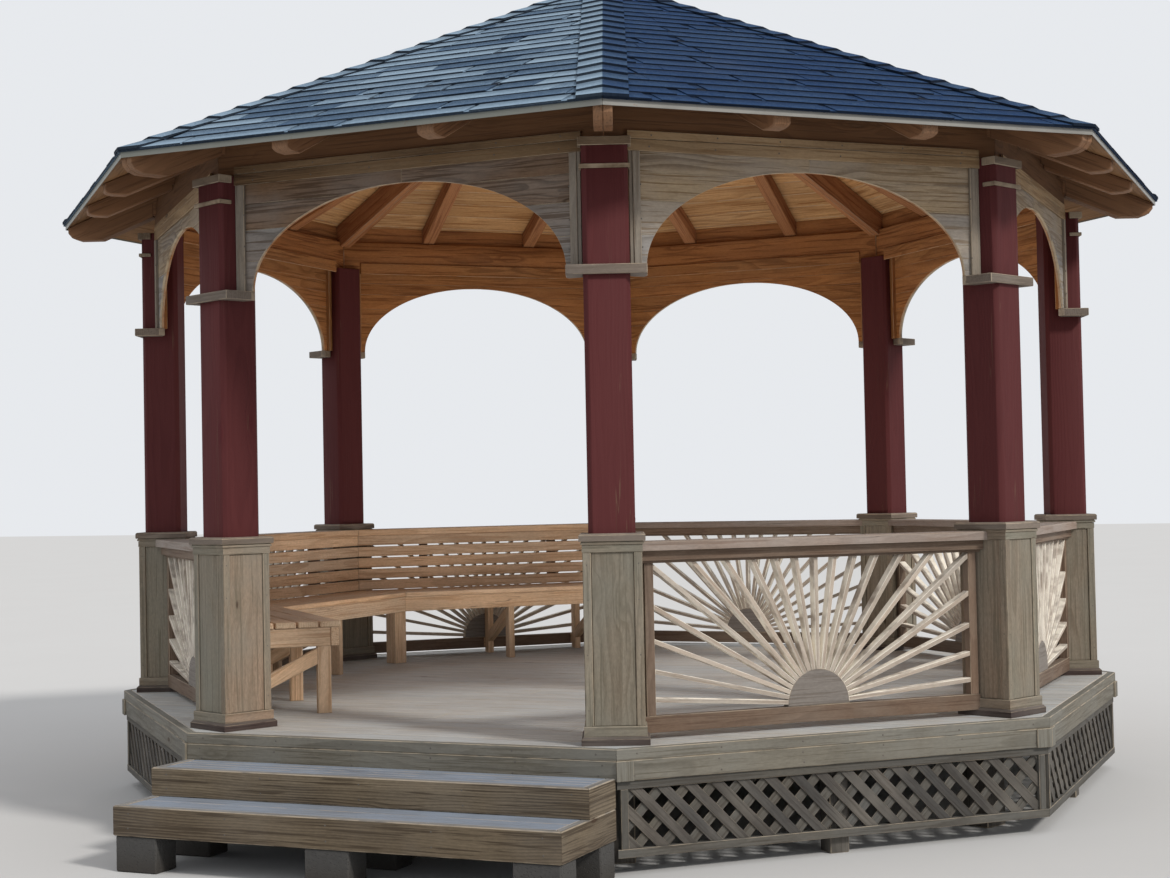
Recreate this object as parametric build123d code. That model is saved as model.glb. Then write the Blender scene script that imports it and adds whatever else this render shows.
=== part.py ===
from build123d import *
import math
import os

os.makedirs("parts", exist_ok=True)

# Plan of the building: eight posts on a circle, the entrance toward -Y
bay_count = 8
bay_turn = 360.0 / bay_count
half_turn = bay_turn / 2
post_circle = 2400.0
tan_half = math.tan(math.radians(half_turn))
cos_half = math.cos(math.radians(half_turn))
sin_half = math.sin(math.radians(half_turn))
bay_apothem = post_circle * cos_half
bay_half = bay_apothem * tan_half
bay_angles = {
    "front": -90.0,
    "front_right": -45.0,
    "right": 0.0,
    "back_right": 45.0,
    "back": 90.0,
    "back_left": 135.0,
    "left": 180.0,
    "front_left": -135.0,
}
post_angles = [half_turn + bay_turn * k for k in range(bay_count)]
railed_bays = [name for name in bay_angles if name != "front"]
bench_bays = ["front_left", "left", "back_left"]
joint_gap = 0.5
cut_over = 1.0

# Posts, eight inches nominal with eased corners, and the ring beam on their heads
deck_top = 500.0
post_width = 190.0
post_chamfer = 18.0
post_height = 2440.0
beam_half_width = 38.0
beam_height = 172.0
half_post = post_width / 2
beam_bottom = deck_top + post_height
beam_top = beam_bottom + beam_height

# Deck
deck_margin = 222.7
rim_thickness = 38.0
floor_thickness = 38.0
rim_upper_height = 46.0
rim_lower_height = 80.0
corner_cover_width = 70.0
corner_cover_thickness = 10.0
deck_apothem = bay_apothem + deck_margin
rim_inner = deck_apothem - rim_thickness
rim_split = deck_top - rim_upper_height
rim_bottom = rim_split - rim_lower_height
floor_bottom = deck_top - floor_thickness

# Lattice skirt
skirt_setback = 12.0
skirt_thickness = 36.0
skirt_clearance = 72.0
skirt_frame = 34.0
skirt_stile = 48.0
lattice_strip = 40.0
lattice_pitch = 83.5
lattice_shift = 20.0
lattice_layer = 8.0
skirt_outer = deck_apothem - skirt_setback
skirt_inner = skirt_outer - skirt_thickness

# Piers and joists
corner_pier_width = 140.0
corner_pier_setback = 110.0
side_pier_width = 88.0
side_pier_clearance = 3.0
joist_thickness = 38.0
joist_depth = 140.0
joist_pitch = 400.0
joist_pairs = 5
joist_setback = 4.0

# Steps
step_half_width = 1005.0
tread_depth = 260.0
step_upper_drop = 113.0
step_lower_drop = 118.0
step_lower_height = 122.0
step_board = 38.0
step_foot_width = 200.0
step_foot_depth = 140.0
step_foot_inset = 6.0
step_upper_top = deck_top - step_upper_drop
step_lower_top = step_upper_top - step_lower_drop
step_lower_bottom = step_lower_top - step_lower_height

# Pedestals around the posts
pedestal_core = 228.0
pedestal_corner = 34.0
pedestal_width = 240.0
pedestal_foot_width = 274.0
pedestal_plinth_width = 252.0
pedestal_frieze_width = 244.0
pedestal_neck_width = 254.0
pedestal_cap_width = 268.0
foot_height = 36.0
foot_chamfer = 10.0
plinth_height = 40.0
field_height = 692.0
frieze_height = 31.0
neck_height = 13.0
cap_height = 31.0
cap_chamfer = 6.0
plinth_bottom = deck_top + foot_height
field_bottom = plinth_bottom + plinth_height
frieze_bottom = field_bottom + field_height
neck_bottom = frieze_bottom + frieze_height
cap_bottom = neck_bottom + neck_height
cap_top = cap_bottom + cap_height

# Rails and sunburst panels
rail_drop = 7.0
rail_cap_height = 38.0
rail_cap_width = 150.0
rail_chamfer = 4.0
subrail_height = 42.0
subrail_width = 92.0
bead_height = 10.0
bead_width = 60.0
bottom_rail_height = 68.0
bottom_rail_gap = 26.0
panel_stile = 46.0
panel_depth = 44.0
hub_radius = 145.0
hub_rise = 8.0
hub_proud = 3.0
slat_count = 21
slat_width = 19.0
slat_depth = 38.0
rail_top = cap_bottom - rail_drop
rail_cap_bottom = rail_top - rail_cap_height
subrail_bottom = rail_cap_bottom - subrail_height
bead_bottom = subrail_bottom - bead_height
bottom_rail_low = deck_top + bottom_rail_gap
window_low = bottom_rail_low + bottom_rail_height

# Arched panels between the posts, collars and bands on the post heads
arch_offset = 45.0
arch_thickness = 22.0
arch_margin = 160.4
arch_rise = 418.0
arch_facets = 32
collar_drop = 516.0
collar_height = 39.0
collar_front = 115.0
collar_half_width = 165.0
collar_clearance = 3.0
header_lap = 44.0
header_height = 84.0
header_thickness = 12.0
ledge_lap = 28.0
ledge_height = 68.0
pilaster_width = 34.0
pilaster_thickness = 16.0
scribe_width = 15.0
scribe_thickness = 10.0
inner_strip_width = 30.0
inner_strip_thickness = 22.0
head_band_drop = 127.0
head_band_height = 18.0
head_band_proud = 9.0
head_trim_height = 34.0
head_trim_proud = 13.0
head_side_reach = 40.0
arch_half_span = bay_half - arch_margin
collar_top = beam_bottom - collar_drop
collar_bottom = collar_top - collar_height
header_bottom = beam_bottom - header_lap
ledge_bottom = beam_bottom - ledge_lap
outer_face = bay_apothem + arch_offset
inner_face = outer_face - arch_thickness
inner_strip_face = inner_face - inner_strip_thickness
beam_inner = bay_apothem - beam_half_width
beam_outer = bay_apothem + beam_half_width

# Roof frame
roof_pitch = 5.5 / 12.0
rafter_over_beam = 93.2
eave_overhang = 482.7
jack_offset = 340.0
jack_width = 76.0
jack_depth = 98.0
hip_width = 76.0
hip_depth = 152.0
hub_block_apothem = 120.0
hub_block_height = 230.0
tail_setback = 22.0
jack_tail_cut = 100.0
jack_tail_nose = 40.0
jack_tail_end = 40.0
hip_tail_cut = 180.0
hip_tail_nose = 60.0
hip_tail_end = 36.0
nose_round = 0.35
blocking_thickness = 38.0
blocking_offset = 30.0
eave_apothem = bay_apothem + eave_overhang
eave_level = beam_top + rafter_over_beam - eave_overhang * roof_pitch
eave_reach = eave_apothem / cos_half

# Roof covering
board_layer = 22.0
shingle_layer = 11.0
shingle_overhang = 16.0
peak_gap = 4.0
drip_height = 25.0
drip_drop = 5.0
drip_thickness = 3.0
hip_cap_half_width = 105.0
hip_cap_layer = 14.0
hip_cap_overhang = 3.0
apex_rise = 8.0
apex_gap = 2.0
cover_top = board_layer + shingle_layer

# Benches
seat_height = 430.0
seat_thickness = 28.0
seat_back_offset = 150.0
seat_depth = 415.0
seat_slats = 4
seat_slat_gap = 9.0
bench_end = 620.0
apron_height = 88.0
apron_thickness = 36.0
apron_setback = 10.0
leg_width = 64.0
leg_thickness = 38.0
leg_inset = 26.0
bearer_setback = 4.0
back_leg_setback = 24.0
back_slats = 5
back_slat_height = 60.0
back_slat_gap = 9.0
back_slat_thickness = 20.0
back_end = 810.0
back_cap_lip = 6.0
brace_drop = 8.0
brace_head = 75.0
brace_foot_low = 31.0
brace_foot_high = 91.0
batten_width = 40.0
batten_offset = 430.0
corner_leg_width = 88.0
corner_leg_offset = 50.0
seat_top = deck_top + seat_height
seat_bottom = seat_top - seat_thickness
seat_back = bay_apothem - seat_back_offset
seat_front = seat_back - seat_depth
apron_bottom = seat_bottom - apron_height
apron_front = seat_front + apron_setback
apron_back = apron_front + apron_thickness


def export(shape, name):
    shape.label = name
    export_step(shape, os.path.join("parts", name + ".step"))


def group(shapes):
    return Compound(children=list(shapes))


def turn(shape, angle):
    return Rot(0, 0, angle) * shape


def box(x0, x1, y0, y1, z0, z1):
    return Pos((x0 + x1) / 2, (y0 + y1) / 2, (z0 + z1) / 2) * Box(x1 - x0, y1 - y0, z1 - z0)


def square(width, z0, z1):
    h = width / 2
    return box(-h, h, -h, h, z0, z1)


def slab(points, z0, z1):
    # outline given as (x, y) pairs, lying between two levels
    face = make_face(Polyline(*points, close=True))
    return Pos(0, 0, z0) * extrude(face, amount=z1 - z0, dir=(0, 0, 1))


def upright(points, y0, y1):
    # outline given as (x, z) pairs, thickness along Y
    face = make_face(Polyline(*[(x, y0, z) for x, z in points], close=True))
    return extrude(face, amount=y1 - y0, dir=(0, 1, 0))


def facing(points, x0, x1):
    # outline given as (y, z) pairs, thickness along X
    face = make_face(Polyline(*[(x0, y, z) for y, z in points], close=True))
    return extrude(face, amount=x1 - x0, dir=(1, 0, 0))


def corner_ring(apothem):
    radius = apothem / cos_half
    return [(radius * math.cos(math.radians(a)), radius * math.sin(math.radians(a))) for a in post_angles]


def octagon(apothem, z0, z1):
    return slab(corner_ring(apothem), z0, z1)


def bay_strip(inner, outer, z0, z1):
    # one mitred side of an octagon ring, lying across the +X axis
    h0 = inner * tan_half - joint_gap
    h1 = outer * tan_half - joint_gap
    return slab([(inner, -h0), (outer, -h1), (outer, h1), (inner, h0)], z0, z1)


def in_bays(shapes, names):
    return group([turn(s, bay_angles[n]) for n in names for s in shapes])


def post_at(shape, angle):
    return turn(Pos(post_circle, 0, 0) * shape, angle)


def on_posts(shapes):
    return group([post_at(s, a) for a in post_angles for s in shapes])


def roof_level(apothem):
    return eave_level + (eave_apothem - apothem) * roof_pitch


def roof_wedge(lift0, lift1, apothem0, apothem1, half_gap):
    # one roof side between two levels above the rafter plane, across +X
    def ring(lift):
        z0 = roof_level(apothem0) + lift
        z1 = roof_level(apothem1) + lift
        h0 = apothem0 * tan_half - half_gap
        h1 = apothem1 * tan_half - half_gap
        return [(apothem0, -h0, z0), (apothem1, -h1, z1), (apothem1, h1, z1), (apothem0, h0, z0)]
    low = ring(lift0)
    high = ring(lift1)
    faces = [make_face(Polyline(*low, close=True)), make_face(Polyline(*high, close=True))]
    for k in range(4):
        n = (k + 1) % 4
        faces.append(make_face(Polyline(low[k], low[n], high[n], high[k], close=True)))
    return Solid(Shell(faces))


def rafter(half_width, depth, inner, outer, slope, cut, nose, end_height):
    # side view as (x, z); the tail's underside runs level from the cut and rises to a blunt nose
    def top(x):
        return eave_level + (outer - x) * slope
    end = outer - tail_setback
    heel = end - cut
    under = top(heel) - depth
    nose_under = under + (top(end) - end_height - under) * nose_round
    outline = [
        (inner, top(inner)),
        (end, top(end)),
        (end, top(end) - end_height),
        (end - nose * nose_round, nose_under),
        (end - nose, under),
        (heel, under),
        (inner, top(inner) - depth),
    ]
    return upright(outline, -half_width, half_width)


# Posts
post_blank = square(post_width, deck_top, beam_bottom)
post = chamfer(post_blank.edges().filter_by(Axis.Z), post_chamfer)
export(on_posts([post]), "posts")

# Pedestals: a flared foot, a plinth, corner boards round flat fields, a frieze and a cap
body = square(pedestal_core, field_bottom, frieze_bottom)
corner_centre = (pedestal_width - pedestal_corner) / 2
for sx in (-1, 1):
    for sy in (-1, 1):
        body += Pos(sx * corner_centre, sy * corner_centre, 0) * square(pedestal_corner, field_bottom, frieze_bottom)
body += square(pedestal_frieze_width, frieze_bottom, neck_bottom)
body += square(pedestal_neck_width, neck_bottom, cap_bottom)
foot = square(pedestal_foot_width, deck_top, plinth_bottom)
foot = chamfer(foot.edges().group_by(Axis.Z)[-1], foot_chamfer)
foot += square(pedestal_plinth_width, plinth_bottom, field_bottom)
cap = square(pedestal_cap_width, cap_bottom, cap_top)
cap = chamfer(cap.edges().group_by(Axis.Z)[-1], cap_chamfer)
pedestal_solid = body + foot + cap
export(on_posts([body - post_blank]), "pedestals")
export(on_posts([foot - post_blank]), "pedestal_feet")
export(on_posts([cap - post_blank]), "pedestal_caps")

# Collars: a board across the post's outer face with arms back under both arched panels
arm_out = arch_offset + collar_clearance
arm_in = arch_offset - arch_thickness - collar_clearance


def jamb_corner(off):
    # a point on the panel's jamb, seen from the post's own centre
    return (off * cos_half - arch_margin * sin_half, arch_margin * cos_half + off * sin_half)


jamb_out = jamb_corner(arm_out)
jamb_in = jamb_corner(arm_in)
arm_root = jamb_in[0] + (jamb_in[1] - half_post) * tan_half
collar = slab(
    [
        (collar_front, -collar_half_width),
        (collar_front, collar_half_width),
        jamb_out,
        jamb_in,
        (arm_root, half_post),
        (arm_root, -half_post),
        (jamb_in[0], -jamb_in[1]),
        (jamb_out[0], -jamb_out[1]),
    ],
    collar_bottom, collar_top,
)
export(on_posts([collar - post_blank]), "post_collars")


def head_wrap(proud, z0, height):
    reach = half_post + proud
    return box(head_side_reach, reach, -reach, reach, z0, z0 + height) - post_blank


head_band = head_wrap(head_band_proud, beam_bottom - head_band_drop, head_band_height)
head_trim = head_wrap(head_trim_proud, beam_bottom - head_trim_height, head_trim_height)
export(on_posts([head_band, head_trim]), "post_head_bands")

# Arched panels: boards between the posts with an elliptical opening, strips at the ends
post_tall = square(post_width, deck_top, beam_top)
post_pair = post_at(post_tall, half_turn) + post_at(post_tall, -half_turn)


def between_posts(inner, outer, z0, z1):
    blank = box(inner, outer, -bay_half, bay_half, z0, z1) - post_pair
    return min(blank.solids(), key=lambda s: abs(s.center().Y))


arch_outline = []
for k in range(arch_facets + 1):
    t = math.pi * k / arch_facets
    arch_outline.append((arch_half_span * math.cos(t), collar_top + arch_rise * math.sin(t)))
arch_outline += [(-arch_half_span, collar_bottom), (arch_half_span, collar_bottom)]
panel = between_posts(inner_face, outer_face, collar_top, beam_bottom)
panel -= facing(arch_outline, inner_face - cut_over, outer_face + cut_over)
jamb_u = bay_half - half_post / cos_half
outer_end = jamb_u + arch_offset * tan_half
inner_end = jamb_u + (inner_strip_face - bay_apothem) * tan_half
for side in (-1, 1):
    scribe = sorted((side * outer_end, side * (outer_end - scribe_width)))
    pilaster = sorted((side * (outer_end - scribe_width), side * (outer_end - scribe_width - pilaster_width)))
    inner = sorted((side * inner_end, side * (inner_end - inner_strip_width)))
    panel += box(outer_face, outer_face + scribe_thickness, *scribe, collar_top, header_bottom)
    panel += box(outer_face, outer_face + pilaster_thickness, *pilaster, collar_top, header_bottom)
    panel += box(inner_strip_face, inner_face, *inner, collar_top, beam_bottom)
for name, angle in bay_angles.items():
    export(turn(panel, angle), "arch_panel_" + name)

# Header boards outside over the joint of panel and beam, ledge boards inside along the beam's foot
header = between_posts(outer_face, outer_face + header_thickness, header_bottom, header_bottom + header_height)
ledge = between_posts(beam_inner - header_thickness, beam_inner, ledge_bottom, ledge_bottom + ledge_height)
export(in_bays([header, ledge], bay_angles), "header_boards")

# Ring beam on the post heads
export(in_bays([bay_strip(beam_inner, beam_outer, beam_bottom, beam_top)], bay_angles), "ring_beam")
beam_ring = octagon(beam_outer, beam_bottom, beam_top) - octagon(beam_inner, beam_bottom, beam_top)

# Roof frame: hip rafters to a central block, two jack rafters in each bay
over_rafters = roof_wedge(0.0, hip_depth, cut_over, eave_reach, 0.0)
hip = rafter(
    hip_width / 2, hip_depth, hub_block_apothem, eave_reach, roof_pitch * cos_half,
    hip_tail_cut, hip_tail_nose, hip_tail_end,
)
hip -= turn(over_rafters, half_turn)
hip -= turn(over_rafters, -half_turn)
hip -= turn(beam_ring, half_turn)
export(on_posts([Pos(-post_circle, 0, 0) * hip]), "hip_rafters")

hip_space = turn(box(0, eave_reach, -hip_width / 2, hip_width / 2, beam_bottom, roof_level(0)), half_turn)
jack = rafter(
    jack_width / 2, jack_depth, jack_offset, eave_apothem, roof_pitch,
    jack_tail_cut, jack_tail_nose, jack_tail_end,
)
jack = Pos(0, jack_offset, 0) * jack - beam_ring - hip_space
jack = max(jack.solids(), key=lambda s: s.volume)
export(in_bays([jack, mirror(jack, about=Plane.XZ)], bay_angles), "jack_rafters")

hub_reach = hub_block_apothem / cos_half
hub_points = []
for k in range(bay_count):
    a = math.radians(bay_turn * k)
    hub_points.append((hub_reach * math.cos(a), hub_reach * math.sin(a)))
hub_top = roof_level(hub_reach)
export(slab(hub_points, hub_top - hub_block_height, hub_top), "roof_hub_block")

# Blocking on the beam between the rafters
blocking_outer = bay_apothem + blocking_offset
blocking_inner = blocking_outer - blocking_thickness
blocking_side = [
    (blocking_inner, beam_top),
    (blocking_outer, beam_top),
    (blocking_outer, roof_level(blocking_outer)),
    (blocking_inner, roof_level(blocking_inner)),
]
jack_in = jack_offset - jack_width / 2
jack_out = jack_offset + jack_width / 2
middle_block = upright(blocking_side, -jack_in, jack_in)
end_block = upright(blocking_side, jack_out, bay_half) - hip_space
end_block = min(end_block.solids(), key=lambda s: s.center().Y)
export(in_bays([middle_block, end_block, mirror(end_block, about=Plane.XZ)], bay_angles), "eave_blocking")

# Roof covering: boards, shingles, metal edge and hip caps
boards = roof_wedge(0.0, board_layer, peak_gap, eave_apothem, joint_gap)
export(in_bays([boards], bay_angles), "roof_boards")
cover_apothem = eave_apothem + shingle_overhang
shingles = roof_wedge(board_layer, cover_top, peak_gap, cover_apothem, joint_gap)
export(in_bays([shingles], bay_angles), "roof_shingles")
drip_bottom = eave_level - drip_drop
drip = bay_strip(eave_apothem, eave_apothem + drip_thickness, drip_bottom, drip_bottom + drip_height)
export(in_bays([drip], bay_angles), "drip_edge")

cap_apothem = cover_apothem + hip_cap_overhang
apex_reach = hip_cap_half_width / sin_half + apex_gap
cap_wedge = roof_wedge(cover_top, cover_top + hip_cap_layer, cut_over, cap_apothem, 0.0)
cap_strip = box(
    apex_reach, cap_apothem / cos_half, -hip_cap_half_width, hip_cap_half_width,
    beam_bottom, roof_level(0) + hip_depth,
)
hip_cap = (turn(cap_wedge, half_turn) & cap_strip) + (turn(cap_wedge, -half_turn) & cap_strip)
export(on_posts([Pos(-post_circle, 0, 0) * hip_cap]), "hip_caps")

apex_apothem = (apex_reach - joint_gap) * cos_half
apex_low = roof_level(apex_apothem) + cover_top
apex_high = apex_low + hip_cap_layer
peak_low = (0.0, 0.0, roof_level(0) + cover_top)
peak_high = (0.0, 0.0, roof_level(0) + cover_top + hip_cap_layer + apex_rise)
apex_corners = corner_ring(apex_apothem)
apex_faces = []
for k in range(bay_count):
    p = apex_corners[k]
    q = apex_corners[(k + 1) % bay_count]
    apex_faces.append(make_face(Polyline((*p, apex_low), (*q, apex_low), peak_low, close=True)))
    apex_faces.append(make_face(Polyline((*p, apex_high), (*q, apex_high), peak_high, close=True)))
    apex_faces.append(make_face(Polyline((*p, apex_low), (*q, apex_low), (*q, apex_high), (*p, apex_high), close=True)))
export(Solid(Shell(apex_faces)), "apex_cap")

# Rails in every bay but the entrance
pedestal_pair = [post_at(pedestal_solid, half_turn), post_at(pedestal_solid, -half_turn)]


def between_pedestals(shape):
    for p in pedestal_pair:
        shape -= p
    return min(shape.solids(), key=lambda s: abs(s.center().Y))


def rail(width, z0, z1):
    return box(bay_apothem - width / 2, bay_apothem + width / 2, -bay_half, bay_half, z0, z1)


rail_cap = rail(rail_cap_width, rail_cap_bottom, rail_top)
rail_cap = between_pedestals(chamfer(rail_cap.edges().filter_by(Axis.Y).group_by(Axis.Z)[-1], rail_chamfer))
export(in_bays([rail_cap], railed_bays), "rail_caps")
subrail = rail(subrail_width, subrail_bottom, rail_cap_bottom) + rail(bead_width, bead_bottom, subrail_bottom)
export(in_bays([between_pedestals(subrail)], railed_bays), "subrails")

# Sunburst panels: a frame with slats fanning out of a half hub, one flat on it for each slat
panel_inner = bay_apothem - panel_depth / 2
panel_outer = bay_apothem + panel_depth / 2
window_half = bay_half - pedestal_core / 2 / cos_half - panel_stile
hub_level = window_low + hub_rise
window = box(panel_inner, panel_outer, -window_half, window_half, window_low - cut_over, bead_bottom)
slat_turn = 180.0 / slat_count
sunburst = rail(panel_depth, bottom_rail_low, bead_bottom)
sunburst -= box(
    panel_inner - cut_over, panel_outer + cut_over, -window_half, window_half, window_low, bead_bottom + cut_over,
)
sunburst = between_pedestals(sunburst)
slats = []
for k in range(slat_count):
    slat = box(-slat_depth / 2, slat_depth / 2, hub_radius / 2, bay_half * 2, -slat_width / 2, slat_width / 2)
    slats.append((Pos(bay_apothem, 0, hub_level) * Rot((k + 0.5) * slat_turn, 0, 0) * slat) & window)
hub_corner = hub_radius / math.cos(math.radians(slat_turn / 2))
hub_outline = [(hub_corner, window_low - cut_over)]
for k in range(slat_count + 1):
    t = math.radians(k * slat_turn)
    hub_outline.append((hub_corner * math.cos(t), hub_level + hub_corner * math.sin(t)))
hub_outline.append((-hub_corner, window_low - cut_over))
hub_half_depth = slat_depth / 2 + hub_proud
sunburst = sunburst + slats + facing(hub_outline, bay_apothem - hub_half_depth, bay_apothem + hub_half_depth)
for name in railed_bays:
    export(turn(sunburst, bay_angles[name]), "sunburst_" + name)

# Deck floor, rim boards in two courses, corner covers
export(octagon(rim_inner, floor_bottom, deck_top), "deck_floor")
export(in_bays([bay_strip(rim_inner, deck_apothem, rim_split, deck_top)], bay_angles), "rim_boards_upper")
export(in_bays([bay_strip(rim_inner, deck_apothem, rim_bottom, rim_split)], bay_angles), "rim_boards_lower")
cover = bay_strip(deck_apothem, deck_apothem + corner_cover_thickness, rim_bottom, rim_split)
cover_start = deck_apothem * tan_half - corner_cover_width
cover -= box(
    deck_apothem - cut_over, deck_apothem + corner_cover_thickness + cut_over,
    -cover_start, cover_start, rim_bottom - cut_over, rim_split + cut_over,
)
export(in_bays(cover.solids(), railed_bays), "corner_covers")

# Lattice skirt below the rim, open behind the steps: strips in two crossing layers
skirt = bay_strip(skirt_inner, skirt_outer, skirt_clearance, rim_bottom)
opening_half = skirt_outer * tan_half - skirt_stile
opening_height = rim_bottom - skirt_clearance - 2 * skirt_frame
opening = box(
    skirt_inner - cut_over, skirt_outer + cut_over, -opening_half, opening_half,
    skirt_clearance + skirt_frame, rim_bottom - skirt_frame,
)
skirt -= opening
layer_face = (skirt_inner + skirt_outer) / 2
skirt_middle = (skirt_clearance + rim_bottom) / 2
strip_step = lattice_pitch * math.sqrt(2.0)
strip_count = int((opening_half + opening_height) / strip_step)
strips = []
for layer, lean in ((0, -45.0), (-lattice_layer, 45.0)):
    x0 = layer_face + layer
    strip = box(x0, x0 + lattice_layer, -opening_height, opening_height, -lattice_strip / 2, lattice_strip / 2)
    for k in range(-strip_count, strip_count + 1):
        placed = Pos(0, k * strip_step + lattice_shift, skirt_middle) * Rot(lean, 0, 0) * strip
        piece = placed & opening
        if piece is not None and len(piece.solids()) > 0:
            strips.append(piece)
skirt = skirt + strips
for name in railed_bays:
    export(turn(skirt, bay_angles[name]), "lattice_" + name)

# Piers, and joists cut round them
corner_pier = Pos(post_circle - corner_pier_setback, 0, 0) * square(corner_pier_width, 0, floor_bottom)
corner_piers = [turn(corner_pier, a) for a in post_angles]
side_pier_x = skirt_inner - side_pier_clearance - side_pier_width / 2
side_pier = Pos(side_pier_x, 0, 0) * square(side_pier_width, 0, floor_bottom)
side_piers = [turn(side_pier, a) for a in bay_angles.values()]
centre_pier = square(corner_pier_width, 0, floor_bottom)
export(group(corner_piers), "corner_piers")
export(group(side_piers), "side_piers")
export(centre_pier, "centre_pier")
joist_limit = skirt_inner - joist_setback
joists = []
for k in range(-joist_pairs, joist_pairs):
    x = (k + 0.5) * joist_pitch
    edge = abs(x) + joist_thickness / 2
    reach = min(joist_limit, joist_limit * math.sqrt(2.0) - edge)
    joist = box(
        x - joist_thickness / 2, x + joist_thickness / 2, -reach, reach, floor_bottom - joist_depth, floor_bottom,
    )
    for pier in corner_piers + side_piers:
        joist -= pier
    joists += joist.solids()
export(group(joists), "floor_joists")

# Two box steps on feet


def box_step(front, z0, z1):
    step = box(-step_half_width, step_half_width, -front, -deck_apothem, z0, z1)
    return step - box(
        step_board - step_half_width, step_half_width - step_board,
        step_board - front, -deck_apothem - step_board, z0 - cut_over, z1 - step_board,
    )


upper_front = deck_apothem + tread_depth
lower_front = upper_front + tread_depth
export(box_step(upper_front, step_lower_top, step_upper_top), "step_upper")
export(box_step(lower_front, step_lower_bottom, step_lower_top), "step_lower")
foot_x = step_half_width - step_foot_width / 2 - step_foot_inset
foot_ys = (
    -lower_front + step_foot_depth / 2 + step_foot_inset,
    -deck_apothem - step_foot_depth / 2 - step_foot_inset,
)
feet = []
for x in (-foot_x, 0.0, foot_x):
    for y in foot_ys:
        feet.append(Pos(x, y, step_lower_bottom / 2) * Box(step_foot_width, step_foot_depth, step_lower_bottom))
export(group(feet), "step_feet")

# Benches along three bays: seats, backs and frames


def run(inner, outer, z0, z1, low_end, high_end):
    # a board along the bay; an end of None is mitred into the next bench
    def at(x, end, sign):
        return sign * (x * tan_half - joint_gap) if end is None else end
    return slab(
        [
            (inner, at(inner, low_end, -1)),
            (outer, at(outer, low_end, -1)),
            (outer, at(outer, high_end, 1)),
            (inner, at(inner, high_end, 1)),
        ],
        z0, z1,
    )


# the low and high end of each bench: the side it stops on, or None where it is mitred
bench_ends = {"front_left": (None, 1), "left": (None, None), "back_left": (-1, None)}
seat_slat_width = (seat_depth - (seat_slats - 1) * seat_slat_gap) / seat_slats
back_outer = (post_circle - pedestal_width / 2) * cos_half
back_inner = back_outer - back_slat_thickness
subrail_inner = bay_apothem - subrail_width / 2
rail_cap_inner = bay_apothem - rail_cap_width / 2
neck_column = post_at(square(pedestal_neck_width, rail_cap_bottom, rail_top), half_turn)
brace_top = apron_bottom - brace_drop


def bench_frame(y):
    # one upright frame across the seat: front leg, bearer, back leg and slanting brace
    y0 = y - leg_thickness / 2
    y1 = y + leg_thickness / 2
    leg_back = apron_back + leg_width
    back_leg = panel_inner - back_leg_setback
    frame = box(apron_back, leg_back, y0, y1, deck_top, seat_bottom)
    frame += box(apron_back, seat_back - bearer_setback, y0, y1, apron_bottom, seat_bottom)
    frame += box(back_leg - leg_width, back_leg, y0, y1, deck_top, seat_bottom)
    return frame + upright(
        [
            (leg_back, brace_top),
            (leg_back, brace_top - brace_head),
            (panel_inner, deck_top + brace_foot_low),
            (panel_inner, deck_top + brace_foot_high),
        ],
        y0, y1,
    )


seats = []
frames = []
backs = []
battens = []
for name in bench_bays:
    low_end, high_end = [None if side is None else side * bench_end for side in bench_ends[name]]
    back_ends = [None if side is None else side * back_end for side in bench_ends[name]]
    angle = bay_angles[name]
    for k in range(seat_slats):
        x0 = seat_front + k * (seat_slat_width + seat_slat_gap)
        seats.append(turn(run(x0, x0 + seat_slat_width, seat_bottom, seat_top, low_end, high_end), angle))
    for k in range(back_slats):
        z1 = rail_cap_bottom - k * (back_slat_height + back_slat_gap)
        backs.append(turn(run(back_inner, back_outer, z1 - back_slat_height, z1, *back_ends), angle))
    back_cap = run(back_inner - back_cap_lip, rail_cap_inner, rail_cap_bottom, rail_top, *back_ends)
    backs.append(turn(back_cap - neck_column - mirror(neck_column, about=Plane.XZ), angle))
    frames.append(turn(run(apron_front, apron_back, apron_bottom, seat_bottom, low_end, high_end), angle))
    stations = [0.0]
    if low_end is not None:
        stations.append(low_end + leg_inset)
    if high_end is not None:
        stations.append(high_end - leg_inset)
    frames += [turn(bench_frame(y), angle) for y in stations]
    for y in (-batten_offset, batten_offset):
        y0 = y - batten_width / 2
        batten = box(back_outer, subrail_inner, y0, y0 + batten_width, seat_top, rail_cap_bottom)
        battens.append(turn(batten, angle))

corner_leg = Pos((apron_back + corner_leg_offset) / cos_half, 0, 0) * square(corner_leg_width, deck_top, seat_bottom)
corner_legs = [turn(corner_leg, bay_angles["left"] + s * half_turn) for s in (-1, 1)]
export(group(seats), "bench_seats")
export(group(backs), "bench_backs")
export(group(frames), "bench_frames")
export(group(corner_legs), "bench_corner_legs")
export(group(battens), "bench_back_battens")
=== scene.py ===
import bpy
import bmesh
import math
import random
from mathutils import Euler, Matrix, Vector


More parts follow.
